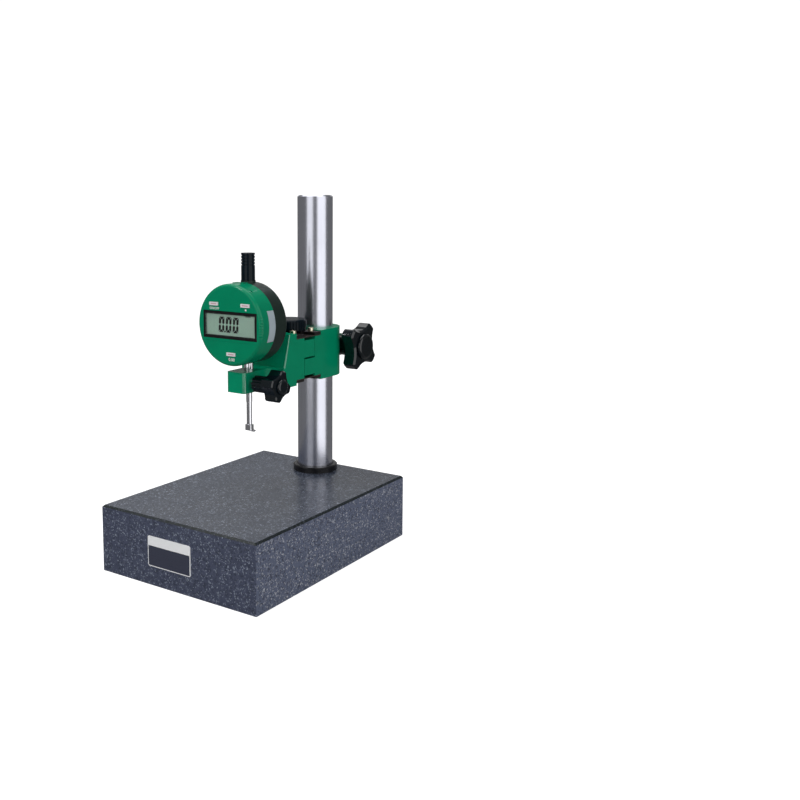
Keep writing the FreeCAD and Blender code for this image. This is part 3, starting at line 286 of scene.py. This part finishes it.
def makePlate(look):
    # pale band above, partly painted reflection, dark field below with a thin pale line round it
    material, tree, shader = newFinish("barePlate", {})
    low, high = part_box("name_plate")
    margin, band = look["margin"] * mm, look["bandHeight"] * mm
    place = addNode(tree, "ShaderNodeSeparateXYZ", {"Vector": objectPlace(tree)}).outputs
    inField = 1.0
    for across, side, limit in (("X", "GREATER_THAN", low.x + margin), ("X", "LESS_THAN", high.x - margin),
                                ("Z", "GREATER_THAN", low.z + margin), ("Z", "LESS_THAN", high.z - band)):
        inField = calculate(tree, "MULTIPLY", inField, calculate(tree, side, place[across], limit))
    setSocket(tree, shader["Base Color"], blendColours(tree, inField, look["metal"], look["field"]))
    texture = useBrushed(tree, look["stretch"], look["rough"])
    setSocket(tree, shader["Roughness"], texture["Roughness"])
    addRelief(tree, shader, texture["Height"], look["relief"])
    return material


windowLook = {"tint": (0.93, 0.97, 0.94), "bending": 1.45, "smears": 90.0, "smearDetail": 2.0,
              "smearSpan": (0.4, 0.7), "rough": (0.02, 0.07)}


def makeWindow(look):
    material, tree, shader = newFinish("clearWindow", {
        "Base Color": look["tint"], "IOR": look["bending"], "Transmission Weight": 1.0})
    smear = noise(tree, objectPlace(tree), look["smears"], look["smearDetail"])["Fac"]
    setSocket(tree, shader["Roughness"], spread(tree, smear, look["smearSpan"], look["rough"]))
    return material


metalLooks = {
    "ground_steel": {"name": "groundSteel", "light": (0.69, 0.7, 0.78), "dark": (0.61, 0.62, 0.7),
                     "stretch": (700.0, 700.0, 5.0), "rough": (0.24, 0.27), "relief": 0.0002},
    "bolt_steel": {"name": "platedSteel", "light": (0.86, 0.8, 0.62), "dark": (0.6, 0.54, 0.4),
                   "stretch": (600.0, 600.0, 600.0), "rough": (0.18, 0.34), "relief": 0.004},
    "polished_steel": {"name": "polishedSteel", "light": (0.8, 0.8, 0.84), "dark": (0.7, 0.7, 0.74),
                       "stretch": (30.0, 30.0, 2400.0), "rough": (0.06, 0.12), "relief": 0.0004},
    "spring_steel": {"name": "temperedSteel", "light": (0.2, 0.17, 0.15), "dark": (0.09, 0.075, 0.07),
                     "stretch": (40.0, 1500.0, 40.0), "rough": (0.3, 0.45), "relief": 0.003},
    "holding_plates": {"name": "blackenedSteel", "light": (0.1, 0.09, 0.09), "dark": (0.04, 0.036, 0.036),
                       "stretch": (40.0, 1500.0, 40.0), "rough": (0.32, 0.5), "relief": 0.004},
    "brass": {"name": "turnedBrass", "light": (0.83, 0.62, 0.3), "dark": (0.65, 0.46, 0.2),
              "stretch": (300.0, 300.0, 300.0), "rough": (0.2, 0.35), "relief": 0.003},
    "cell": {"name": "cellCan", "light": (0.8, 0.8, 0.8), "dark": (0.65, 0.65, 0.66),
             "stretch": (500.0, 500.0, 500.0), "rough": (0.15, 0.3), "relief": 0.002},
    "scale": {"name": "etchedScale", "light": (0.6, 0.42, 0.2), "dark": (0.2, 0.14, 0.06),
              "stretch": (40.0, 40.0, 5200.0), "rough": (0.3, 0.5), "relief": 0.003, "metallic": 0.6},
}


def makeMetal(look):
    # bare metal with the lines of its machining
    material, tree, shader = newFinish(look["name"], {"Metallic": look.get("metallic", 1.0)})
    texture = useBrushed(tree, look["stretch"], look["rough"])
    setSocket(tree, shader["Base Color"], blendColours(tree, texture["Shade"], look["dark"], look["light"]))
    setSocket(tree, shader["Roughness"], texture["Roughness"])
    addRelief(tree, shader, texture["Height"], look["relief"])
    return material


coatedLooks = {
    "green_casting": {"name": "greenEnamel", "colour": (0.0, 0.3, 0.15), "deep": (0.0, 0.275, 0.138),
                      "grain": 420.0, "rough": (0.16, 0.24), "relief": 0.012, "specular": 0.12,
                      "shinyEdges": True},
    "green_shell": {"name": "greenMoulding", "colour": (0.0, 0.252, 0.122), "deep": (0.0, 0.235, 0.114),
                    "grain": 1500.0, "rough": (0.18, 0.26), "relief": 0.004, "specular": 0.12,
                    "shinyEdges": True},
    "black_ring": {"name": "blackenedRing", "colour": (0.012, 0.012, 0.014), "deep": (0.02, 0.02, 0.022),
                   "grain": 800.0, "rough": (0.2, 0.35), "relief": 0.008, "metallic": 0.4},
    "black_metal": {"name": "blackAnodised", "colour": (0.001, 0.006, 0.011), "deep": (0.003, 0.009, 0.015),
                    "grain": 1200.0, "rough": (0.12, 0.2), "relief": 0.004, "specular": 0.1},
    "black_grip": {"name": "blackGrip", "colour": (0.001, 0.004, 0.006), "deep": (0.002, 0.006, 0.009),
                   "grain": 700.0, "rough": (0.05, 0.1), "relief": 0.006, "specular": 0.22,
                   "shinyEdges": True},
    "black_shell": {"name": "blackMoulding", "colour": (0.01, 0.022, 0.018), "deep": (0.014, 0.027, 0.022),
                    "grain": 1800.0, "rough": (0.36, 0.46), "relief": 0.01, "specular": 0.25},
    "cap": {"name": "capMoulding", "colour": (0.001, 0.006, 0.011), "deep": (0.003, 0.009, 0.015),
            "grain": 1500.0, "rough": (0.1, 0.16), "relief": 0.004, "specular": 0.16},
    "display_frame": {"name": "displayFrame", "colour": (0.002, 0.002, 0.003), "deep": (0.004, 0.004, 0.005),
                      "grain": 900.0, "rough": (0.1, 0.18), "relief": 0.003},
    # the display panel is partly its own pale grey-green and partly painted light: its colour is lifted to
    # stand in for the light the window and bezel keep off it
    "display_panel": {"name": "displayPanel", "colour": (0.66, 0.88, 0.77), "deep": (0.63, 0.85, 0.74),
                      "grain": 2500.0, "rough": (0.5, 0.6), "relief": 0.002, "specular": 0.1},
    "display_ink": {"name": "displayInk", "colour": (0.002, 0.004, 0.004), "deep": (0.004, 0.006, 0.006),
                    "grain": 2500.0, "rough": (0.5, 0.6), "relief": 0.001, "specular": 0.05},
    "buttons": {"name": "paleButton", "colour": (0.86, 0.86, 0.88), "deep": (0.82, 0.81, 0.84),
                "grain": 1500.0, "rough": (0.25, 0.35), "relief": 0.004},
    # the drawer's pale grey is its own, and the green and blue lift over it is painted reflection
    "drawer": {"name": "paleDrawer", "colour": (0.46, 0.55, 0.6), "deep": (0.42, 0.5, 0.55),
               "grain": 1800.0, "rough": (0.32, 0.42), "relief": 0.006},
    "connector": {"name": "darkRubber", "colour": (0.02, 0.02, 0.02), "deep": (0.035, 0.035, 0.035),
                  "grain": 1200.0, "rough": (0.6, 0.8), "relief": 0.01},
    "board": {"name": "solderResist", "colour": (0.005, 0.09, 0.04), "deep": (0.004, 0.075, 0.03),
              "grain": 1500.0, "rough": (0.25, 0.35), "relief": 0.006},
    "chip": {"name": "mouldedChip", "colour": (0.015, 0.015, 0.016), "deep": (0.03, 0.03, 0.03),
             "grain": 1800.0, "rough": (0.45, 0.6), "relief": 0.006},
    "rail": {"name": "paleRail", "colour": (0.62, 0.61, 0.57), "deep": (0.55, 0.54, 0.5),
             "grain": 1500.0, "rough": (0.35, 0.45), "relief": 0.006},
    "print": {"name": "whitePrint", "colour": (0.8, 0.82, 0.8), "deep": (0.75, 0.77, 0.75),
              "grain": 2500.0, "rough": (0.4, 0.5), "relief": 0.001},
    "pink_print": {"name": "pinkPrint", "colour": (0.66, 0.4, 0.44), "deep": (0.6, 0.36, 0.4),
                   "grain": 2500.0, "rough": (0.4, 0.5), "relief": 0.001},
}

coating = {"clouds": 60.0, "cloudDetail": 3.0, "cloudSpan": (0.35, 0.65),
           "lustreRough": 0.12, "lustreBending": 2.0}


def makeCoated(look):
    # paint or moulded plastic: two close tones, grain in the gloss and a little relief
    material, tree, shader = newFinish(look["name"], {
        "Metallic": look.get("metallic", 0.0), "Specular IOR Level": look.get("specular", 0.5)})
    if look.get("shinyEdges"):  # clear lustre where the piece's own mark says that an edge is rounded
        mark = addNode(tree, "ShaderNodeAttribute", attribute_name="rounding").outputs["Fac"]
        setSocket(tree, shader["Coat Weight"], mark)
        setSocket(tree, shader["Coat Roughness"], coating["lustreRough"])
        setSocket(tree, shader["Coat IOR"], coating["lustreBending"])
    cloud = noise(tree, objectPlace(tree), coating["clouds"], coating["cloudDetail"])["Fac"]
    tone = spread(tree, cloud, coating["cloudSpan"])
    setSocket(tree, shader["Base Color"], blendColours(tree, tone, look["colour"], look["deep"]))
    texture = useGrain(tree, look["grain"], look["rough"])
    setSocket(tree, shader["Roughness"], texture["Roughness"])
    addRelief(tree, shader, texture["Height"], look["relief"])
    return material


finish = {"granite": makeGranite(graniteLook), "plate": makePlate(plateLook),
          "display_glass": makeWindow(windowLook)}
finish.update({slot: makeMetal(look) for slot, look in metalLooks.items()})
finish.update({slot: makeCoated(look) for slot, look in coatedLooks.items()})
print("finishes built:", len(finish))


# The solids from the frame, each with its edges broken and its own finish

# in millimetres: bevel is the width of the break on sharp edges, corner the radius of a button's corners,
# and faces narrower than strip are fillets and bevels, which get the lustre
trims = {
    "arm": {"bevel": 0.6, "strip": 0.9, "lustre": 1.0},
    "clamp_block": {"bevel": 0.45, "strip": 0.9, "lustre": 1.0},
    "front_shell": {"bevel": 0.2, "strip": 0.7, "lustre": 0.1},
    "clamp_knob": {"strip": 1.7, "lustre": 0.3},
    "stem_knob": {"strip": 1.2, "lustre": 0.3},
    "button_left": {"bevel": 0.15, "corner": 0.8},
    "button_right": {"bevel": 0.15, "corner": 0.8},
    "button_zero": {"bevel": 0.15, "corner": 0.8},
    "rear_shell": {"bevel": 0.15},
    "spindle_cap": {"bevel": 0.12, "finish": "cap"},
    "battery_tray": {"bevel": 0.35},
    "lcd_bezel": {"bevel": 0.25},
    "name_plate": {"bevel": 0.12},
    "arm_plate_screws": {"bevel": 0.25},
    "block_plate_screws": {"bevel": 0.25},
    "arm_upper_plate": {"bevel": 0.2},
    "arm_lower_plate": {"bevel": 0.2},
    "block_upper_plate": {"bevel": 0.2},
    "block_lower_plate": {"bevel": 0.2},
    "stem_cotter": {"bevel": 0.3},
    "clamp_bolt": {"bevel": 0.3},
    "clamp_washer": {"bevel": 0.2},
    "column_bolt": {"bevel": 0.4},
    "contact_rod": {"bevel": 0.2},
    "groove_tip": {"bevel": 0.25},
}

dressing = {"merge": 0.002, "flatAngle": 0.4, "bevelAngle": 40.0, "sharpAngle": 38.0, "upright": 0.99,
            "bevelSteps": 2, "cornerSteps": 4}
leaves = {"nodes": ("upper_leaf_spring", "lower_leaf_spring"), "cuts": 8, "snap": 0.001}
coil = {"node": "return_spring", "joint": "spindle_lift", "travel": 13.1}

slots = {entry["node"]: entry["material_slot"] for entry in frame["record"]["subparts"]}
bodies = {node: body for body, nodes in frame["record"]["behaviour"]["bodies"].items() for node in nodes}


def middleOf(name):
    low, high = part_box(name)
    return (low + high) / 2


def camel(name):
    first, *rest = name.split("_")
    return first + "".join(word.capitalize() for word in rest)


def isSharper(edge, angle):
    return edge.is_manifold and edge.calc_face_angle(0.0) > math.radians(angle)


def breakEdges(shape, edges, width, steps):
    bmesh.ops.bevel(shape, geom=edges, offset=width * mm, offset_type="OFFSET", segments=steps, profile=0.5,
                    affect="EDGES", clamp_overlap=True, material=-1)


def mergedCopy(name):
    shape = bmesh.new()
    shape.from_mesh(frame["nodes"][name].data)
    bmesh.ops.remove_doubles(shape, verts=shape.verts, dist=dressing["merge"] * mm)
    return shape


def finishPiece(shape, name, material, body=None):
    # turns a bmesh into a piece of the scene, which rides on its body if that is given
    for face in shape.faces:
        face.smooth = True
    for edge in shape.edges:
        if isSharper(edge, dressing["sharpAngle"]):
            edge.smooth = False
    mesh = bpy.data.meshes.new(name)
    shape.to_mesh(mesh)
    shape.free()
    oldNormals = mesh.attributes.get("custom_normal")
    if oldNormals:
        mesh.attributes.remove(oldNormals)
    mesh.materials.clear()
    mesh.materials.append(material)
    piece = bpy.data.objects.new(name, mesh)
    scene.collection.objects.link(piece)
    piece.modifiers.new("evenNormals", "WEIGHTED_NORMAL").keep_sharp = True
    if body:
        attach(piece, body)
    return piece


def markRounding(shape, strip, lustre):
    # marks the narrow strips that make up fillets and bevels
    mark = shape.faces.layers.float.new("rounding")
    for face in shape.faces:
        if face.calc_area() / max(edge.calc_length() for edge in face.edges) < strip * mm:
            face[mark] = lustre


def dressLeaf(name):
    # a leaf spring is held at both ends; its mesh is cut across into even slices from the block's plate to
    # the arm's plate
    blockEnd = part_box("block_upper_plate")[0].y
    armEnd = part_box("arm_upper_plate")[1].y
    shape = mergedCopy(name)
    for step in range(leaves["cuts"] + 1):
        across = blockEnd + (armEnd - blockEnd) * step / leaves["cuts"]
        bmesh.ops.bisect_plane(shape, geom=shape.verts[:] + shape.edges[:] + shape.faces[:],
                               dist=leaves["snap"] * mm, plane_co=(0.0, across, 0.0),
                               plane_no=(0.0, 1.0, 0.0))
    piece = finishPiece(shape, camel(name) + "Piece", finish[slots[name]])
    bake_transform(piece)
    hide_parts(name)


def dressNode(name):
    # a merged copy of the solid with narrow bevels on its sharp edges
    trim = trims.get(name, {})
    shape = mergedCopy(name)
    bmesh.ops.dissolve_limit(shape, angle_limit=math.radians(dressing["flatAngle"]), verts=shape.verts,
                             edges=shape.edges)
    if "corner" in trim:
        corners = [edge for edge in shape.edges
                   if abs((edge.verts[0].co - edge.verts[1].co).normalized().y) > dressing["upright"]]
        breakEdges(shape, corners, trim["corner"], dressing["cornerSteps"])
    if "bevel" in trim:
        sharp = [edge for edge in shape.edges if isSharper(edge, dressing["bevelAngle"])]
        breakEdges(shape, sharp, trim["bevel"], dressing["bevelSteps"])
    if "strip" in trim:
        markRounding(shape, trim["strip"], trim["lustre"])
    look = finish[trim.get("finish", slots[name])]
    piece = finishPiece(shape, camel(name) + "Piece", look, bodies[name])
    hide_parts(name)
    return piece


def closeCoil(piece):
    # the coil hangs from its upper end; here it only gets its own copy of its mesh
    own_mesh(piece)


madeBelow = ("lcd_window",)
for nodeName in sorted(frame["nodes"]):
    if nodeName in leaves["nodes"]:
        dressLeaf(nodeName)
    elif nodeName == coil["node"]:
        closeCoil(dressNode(nodeName))
    elif nodeName not in madeBelow:
        dressNode(nodeName)
print("solids dressed")


# Window of the display, a hair off the panel

window = {"gap": 0.15, "bevel": 0.15}


def boxShape(low, high):
    shape = bmesh.new()
    bmesh.ops.create_cube(shape, size=1.0)
    bmesh.ops.scale(shape, vec=high - low, verts=shape.verts)
    bmesh.ops.translate(shape, vec=(high + low) / 2, verts=shape.verts)
    return shape


windowLow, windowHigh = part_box("lcd_window")
windowShape = boxShape(windowLow, windowHigh - Vector((0.0, window["gap"] * mm, 0.0)))
breakEdges(windowShape, windowShape.edges[:], window["bevel"], dressing["bevelSteps"])
windowPiece = finishPiece(windowShape, "displayWindow", finish["display_glass"], "indicator")
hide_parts("lcd_window")


# What the display shows

# in millimetres, with left and rise measured from the panel's lower left corner
digits = {"left": 16.5, "rise": 4.2, "pitch": 6.95, "width": 5.5, "height": 11.9, "count": 3, "stroke": 2.1,
          "slant": 0.056, "gap": 0.05, "corner": 0.45, "thickness": 0.05, "lift": 0.01, "point": 1.2}


def displaySegments(look):
    # tall noughts made of mitred bars, and a point after the first
    shape = bmesh.new()
    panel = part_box("lcd_panel")[0] / mm
    first, bottom, back = panel.x + look["left"], panel.z + look["rise"], panel.y - look["lift"]
    halfWidth, halfHeight = look["width"] / 2, look["height"] / 2
    middle = bottom + halfHeight

    def segment(corners):
        ring = [shape.verts.new((x + (z - middle) * look["slant"], back, z)) for x, z in corners]
        lifted = bmesh.ops.extrude_face_region(shape, geom=[shape.faces.new(ring)])
        front = [part for part in lifted["geom"] if isinstance(part, bmesh.types.BMVert)]
        bmesh.ops.translate(shape, vec=(0.0, -look["thickness"], 0.0), verts=front)

    gap, stroke, corner = look["gap"], look["stroke"], look["corner"]
    for index in range(look["count"]):
        centre = first + look["pitch"] * index
        for level in (-1, 1):
            edge, inner = middle + level * halfHeight, middle + level * (halfHeight - stroke)
            outerReach, innerReach = halfWidth - corner - gap, halfWidth - stroke - gap
            segment([(centre - outerReach, edge), (centre + outerReach, edge),
                     (centre + innerReach, inner), (centre - innerReach, inner)])
            for side in (-1, 1):
                out, near = centre + side * halfWidth, centre + side * (halfWidth - stroke)
                shoulder = middle + level * (stroke / 2 + gap)
                segment([(out, edge - level * (corner + gap)), (near, inner - level * gap), (near, shoulder),
                         ((out + near) / 2, middle + level * gap), (out, shoulder)])
    left = first + (look["pitch"] - look["point"]) / 2
    right, top = left + look["point"], bottom + look["point"]
    segment([(left, bottom), (right, bottom), (right, top), (left, top)])
    bmesh.ops.scale(shape, vec=(mm, mm, mm), verts=shape.verts)
    bmesh.ops.recalc_face_normals(shape, faces=shape.faces)
    return shape


finishPiece(displaySegments(digits), "displayDigits", finish["display_ink"], "indicator")


# Black print round the edge of the panel, under the window

displayMask = {"side": 0.3, "low": 0.3, "high": 0.6, "thickness": 0.032, "gap": 0.008}


def maskShape(look):
    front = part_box("lcd_panel")[0].y - (look["thickness"] + look["gap"]) * mm
    low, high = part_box("lcd_window")
    side = look["side"] * mm
    frames = ((low.x, low.z, high.x, high.z),
              (low.x + side, low.z + look["low"] * mm, high.x - side, high.z - look["high"] * mm))
    shape = bmesh.new()
    rings = []
    for left, bottom, right, top in frames:
        corners = ((left, bottom), (right, bottom), (right, top), (left, top))
        points = [shape.verts.new((x, front, z)) for x, z in corners]
        rings.extend(shape.edges.new(pair) for pair in zip(points, points[1:] + points[:1]))
    bmesh.ops.bridge_loops(shape, edges=rings)
    lifted = bmesh.ops.extrude_face_region(shape, geom=shape.faces[:])
    back = [part for part in lifted["geom"] if isinstance(part, bmesh.types.BMVert)]
    bmesh.ops.translate(shape, vec=(0.0, look["thickness"] * mm, 0.0), verts=back)
    bmesh.ops.recalc_face_normals(shape, faces=shape.faces)
    return shape


finishPiece(maskShape(displayMask), "displayMask", finish["display_frame"], "indicator")


# Plain marks: a word or number under two buttons, a dot under the third, and the unit in the display

marks = {
    "thickness": 0.04, "nudge": 0.4,
    "words": {"button_left": {"text": "ON/OFF", "height": 2.6, "weight": 0.02, "drop": 3.6},
              "button_zero": {"text": "0.00", "height": 3.4, "weight": 0.02, "drop": 4.1}},
    "unit": {"text": "mm", "height": 3.2, "weight": 0.04, "fromRight": 8.8, "fromTop": 1.9},
    "dot": {"button": "button_right", "diameter": 1.6, "drop": 3.3, "sides": 24},
    "curveSteps": 3,
}


def standUp(shape, place):
    # turns a flat shape to face the front, with its middle at the place
    upright = Matrix.Rotation(math.radians(90), 4, "X")
    bmesh.ops.transform(shape, matrix=Matrix.Translation(place) @ upright, verts=shape.verts)
    return shape


def wordShape(word, place):
    curve = bpy.data.curves.new("letters", "FONT")
    curve.body = word["text"]
    curve.size = word["height"] * mm
    curve.offset = word["height"] * word["weight"] * mm
    curve.align_x = "CENTER"
    curve.align_y = "CENTER"
    curve.extrude = marks["thickness"] / 2 * mm
    curve.resolution_u = marks["curveSteps"]
    holder = bpy.data.objects.new("letters", curve)
    scene.collection.objects.link(holder)
    solid = holder.evaluated_get(bpy.context.evaluated_depsgraph_get())
    letters = bpy.data.meshes.new_from_object(solid)
    bpy.data.objects.remove(holder)
    shape = bmesh.new()
    shape.from_mesh(letters)
    return standUp(shape, place)


def dotShape(look, place):
    shape = bmesh.new()
    radius = look["diameter"] / 2 * mm
    bmesh.ops.create_cone(shape, cap_ends=True, segments=look["sides"], radius1=radius, radius2=radius,
                          depth=marks["thickness"] * mm)
    return standUp(shape, place)


def printedOn(name):
    # middle of a print's thickness on the front of a solid
    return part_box(name)[0].y - marks["thickness"] / 2 * mm


def underButton(name, drop):
    middle = middleOf(name)
    return middle.x + marks["nudge"] * mm, printedOn("front_shell"), middle.z - drop * mm


for buttonName, word in marks["words"].items():
    shape = wordShape(word, underButton(buttonName, word["drop"]))
    finishPiece(shape, camel(buttonName) + "Word", finish["print"], "indicator")

unit = marks["unit"]
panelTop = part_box("lcd_panel")[1]
shape = wordShape(unit, (panelTop.x - unit["fromRight"] * mm, printedOn("lcd_panel"),
                         panelTop.z - unit["fromTop"] * mm))
finishPiece(shape, "displayUnit", finish["display_ink"], "indicator")

dot = marks["dot"]
shape = dotShape(dot, underButton(dot["button"], dot["drop"]))
finishPiece(shape, camel(dot["button"]) + "Dot", finish["print"], "indicator")


# Stripe printed along each button

stripe = {"buttons": ("button_left", "button_right", "button_zero"), "width": 5.8, "height": 1.0,
          "thickness": 0.04, "sunk": 0.006}
for buttonName in stripe["buttons"]:
    middle = middleOf(buttonName)
    reach = Vector((stripe["width"], stripe["thickness"], stripe["height"])) * (mm / 2)
    centre = Vector((middle.x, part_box(buttonName)[0].y + stripe["sunk"] * mm, middle.z))
    shape = boxShape(centre - reach, centre + reach)
    finishPiece(shape, camel(buttonName) + "Stripe", finish["pink_print"], bodies[buttonName])
print("display and marks made")


# Floor that rises into a wall

studio = {"radius": 2.6, "bend": 1.2, "height": 2.2, "drop": 0.0002, "bendSteps": 12, "turnSteps": 96,
          "colour": (0.4, 0.4, 0.4), "roughness": 0.9, "glow": (1.0, 1.0, 1.0), "ownLight": 0.9}


def makeStudio(look):
    flat = look["radius"] - look["bend"]
    profile = [(0.0, 0.0), (flat, 0.0)]
    for step in range(1, look["bendSteps"] + 1):
        turn = math.radians(90 * step / look["bendSteps"])
        profile.append((flat + look["bend"] * math.sin(turn), look["bend"] * (1 - math.cos(turn))))
    profile.append((look["radius"], look["height"]))
    shape = bmesh.new()
    points = [shape.verts.new((across, 0.0, up - look["drop"])) for across, up in profile]
    edges = [shape.edges.new(pair) for pair in zip(points, points[1:])]
    bmesh.ops.spin(shape, geom=points + edges, axis=(0, 0, 1), cent=(0, 0, 0), angle=math.tau,
                   steps=look["turnSteps"], use_merge=True)
    bmesh.ops.remove_doubles(shape, verts=shape.verts, dist=dressing["merge"] * mm)
    bmesh.ops.recalc_face_normals(shape, faces=shape.faces)
    for face in shape.faces:
        face.smooth = True
    mesh = bpy.data.meshes.new("studioFloor")
    shape.to_mesh(mesh)
    shape.free()

    # the paper glows for the camera alone, so the background is white and the object is lit by the lamps
    material, tree, shader = newFinish("palePaper", {
        "Base Color": look["colour"], "Roughness": look["roughness"], "Emission Color": look["glow"]})
    seen = addNode(tree, "ShaderNodeLightPath").outputs["Is Camera Ray"]
    setSocket(tree, shader["Emission Strength"], calculate(tree, "MULTIPLY", seen, look["ownLight"]))
    mesh.materials.append(material)
    floor = bpy.data.objects.new("studioFloor", mesh)
    floor.visible_glossy = False
    scene.collection.objects.link(floor)


makeStudio(studio)


# Lights and camera

lamps = {
    "topLamp": {"place": (-0.3, 0.2, 1.6), "aim": (0.0, 0.0, 0.0), "size": (1.6, 1.6), "power": 15.0},
    "leftBox": {"place": (0.03, -1.45, 0.5), "aim": (0.0, 0.0, 0.5), "size": (1.1, 1.25), "power": 4.6},
    "rightBox": {"place": (1.46, -0.26, 0.6), "aim": (0.0, 0.0, 0.6), "size": (1.7, 2.5), "power": 16.5},
    "keyLamp": {"place": (-0.55, -1.0, 1.25), "aim": (0.0, 0.0, 0.15), "size": (0.3, 0.3), "power": 8.0},
    "backLamp": {"place": (-0.8, 1.3, 0.75), "aim": (0.0, 0.0, 0.1), "size": (2.2, 0.5), "power": 2.0},
}
for lampName, look in lamps.items():
    light = bpy.data.lights.new(lampName, "AREA")
    light.shape = "RECTANGLE"
    light.size, light.size_y = look["size"]
    light.energy = look["power"]
    lamp = bpy.data.objects.new(lampName, light)
    lamp.location = look["place"]
    lamp.rotation_euler = (Vector(look["aim"]) - Vector(look["place"])).to_track_quat("-Z", "Y").to_euler()
    scene.collection.objects.link(lamp)

room = {"colour": (1.0, 1.0, 1.0), "light": 0.17}
world = bpy.data.worlds.new("dimRoom")
world.use_nodes = True
background = world.node_tree.nodes["Background"].inputs
setSocket(world.node_tree, background["Color"], room["colour"])
setSocket(world.node_tree, background["Strength"], room["light"])
scene.world = world
scene.view_settings.view_transform = "Standard"

# solved from the corners of the granite: angles in degrees, focal length, middle and image in its pixels
view = {"place": (0.46925, -0.59229, 0.28191), "yaw": 34.702, "pitch": 6.823, "focal": 962.13,
        "middle": (320.46, 317.41), "image": 800.0, "sensor": 36.0, "nearest": 0.01}
cameraData = bpy.data.cameras.new("photoCamera")
cameraData.sensor_width = view["sensor"]
cameraData.lens = view["focal"] / view["image"] * view["sensor"]
cameraData.shift_x = 0.5 - view["middle"][0] / view["image"]
cameraData.shift_y = view["middle"][1] / view["image"] - 0.5
cameraData.clip_start = view["nearest"]
camera = bpy.data.objects.new("photoCamera", cameraData)
camera.location = view["place"]
camera.rotation_euler = (math.radians(90 - view["pitch"]), 0.0, math.radians(view["yaw"]))
scene.collection.objects.link(camera)
scene.camera = camera
print("studio and camera made")
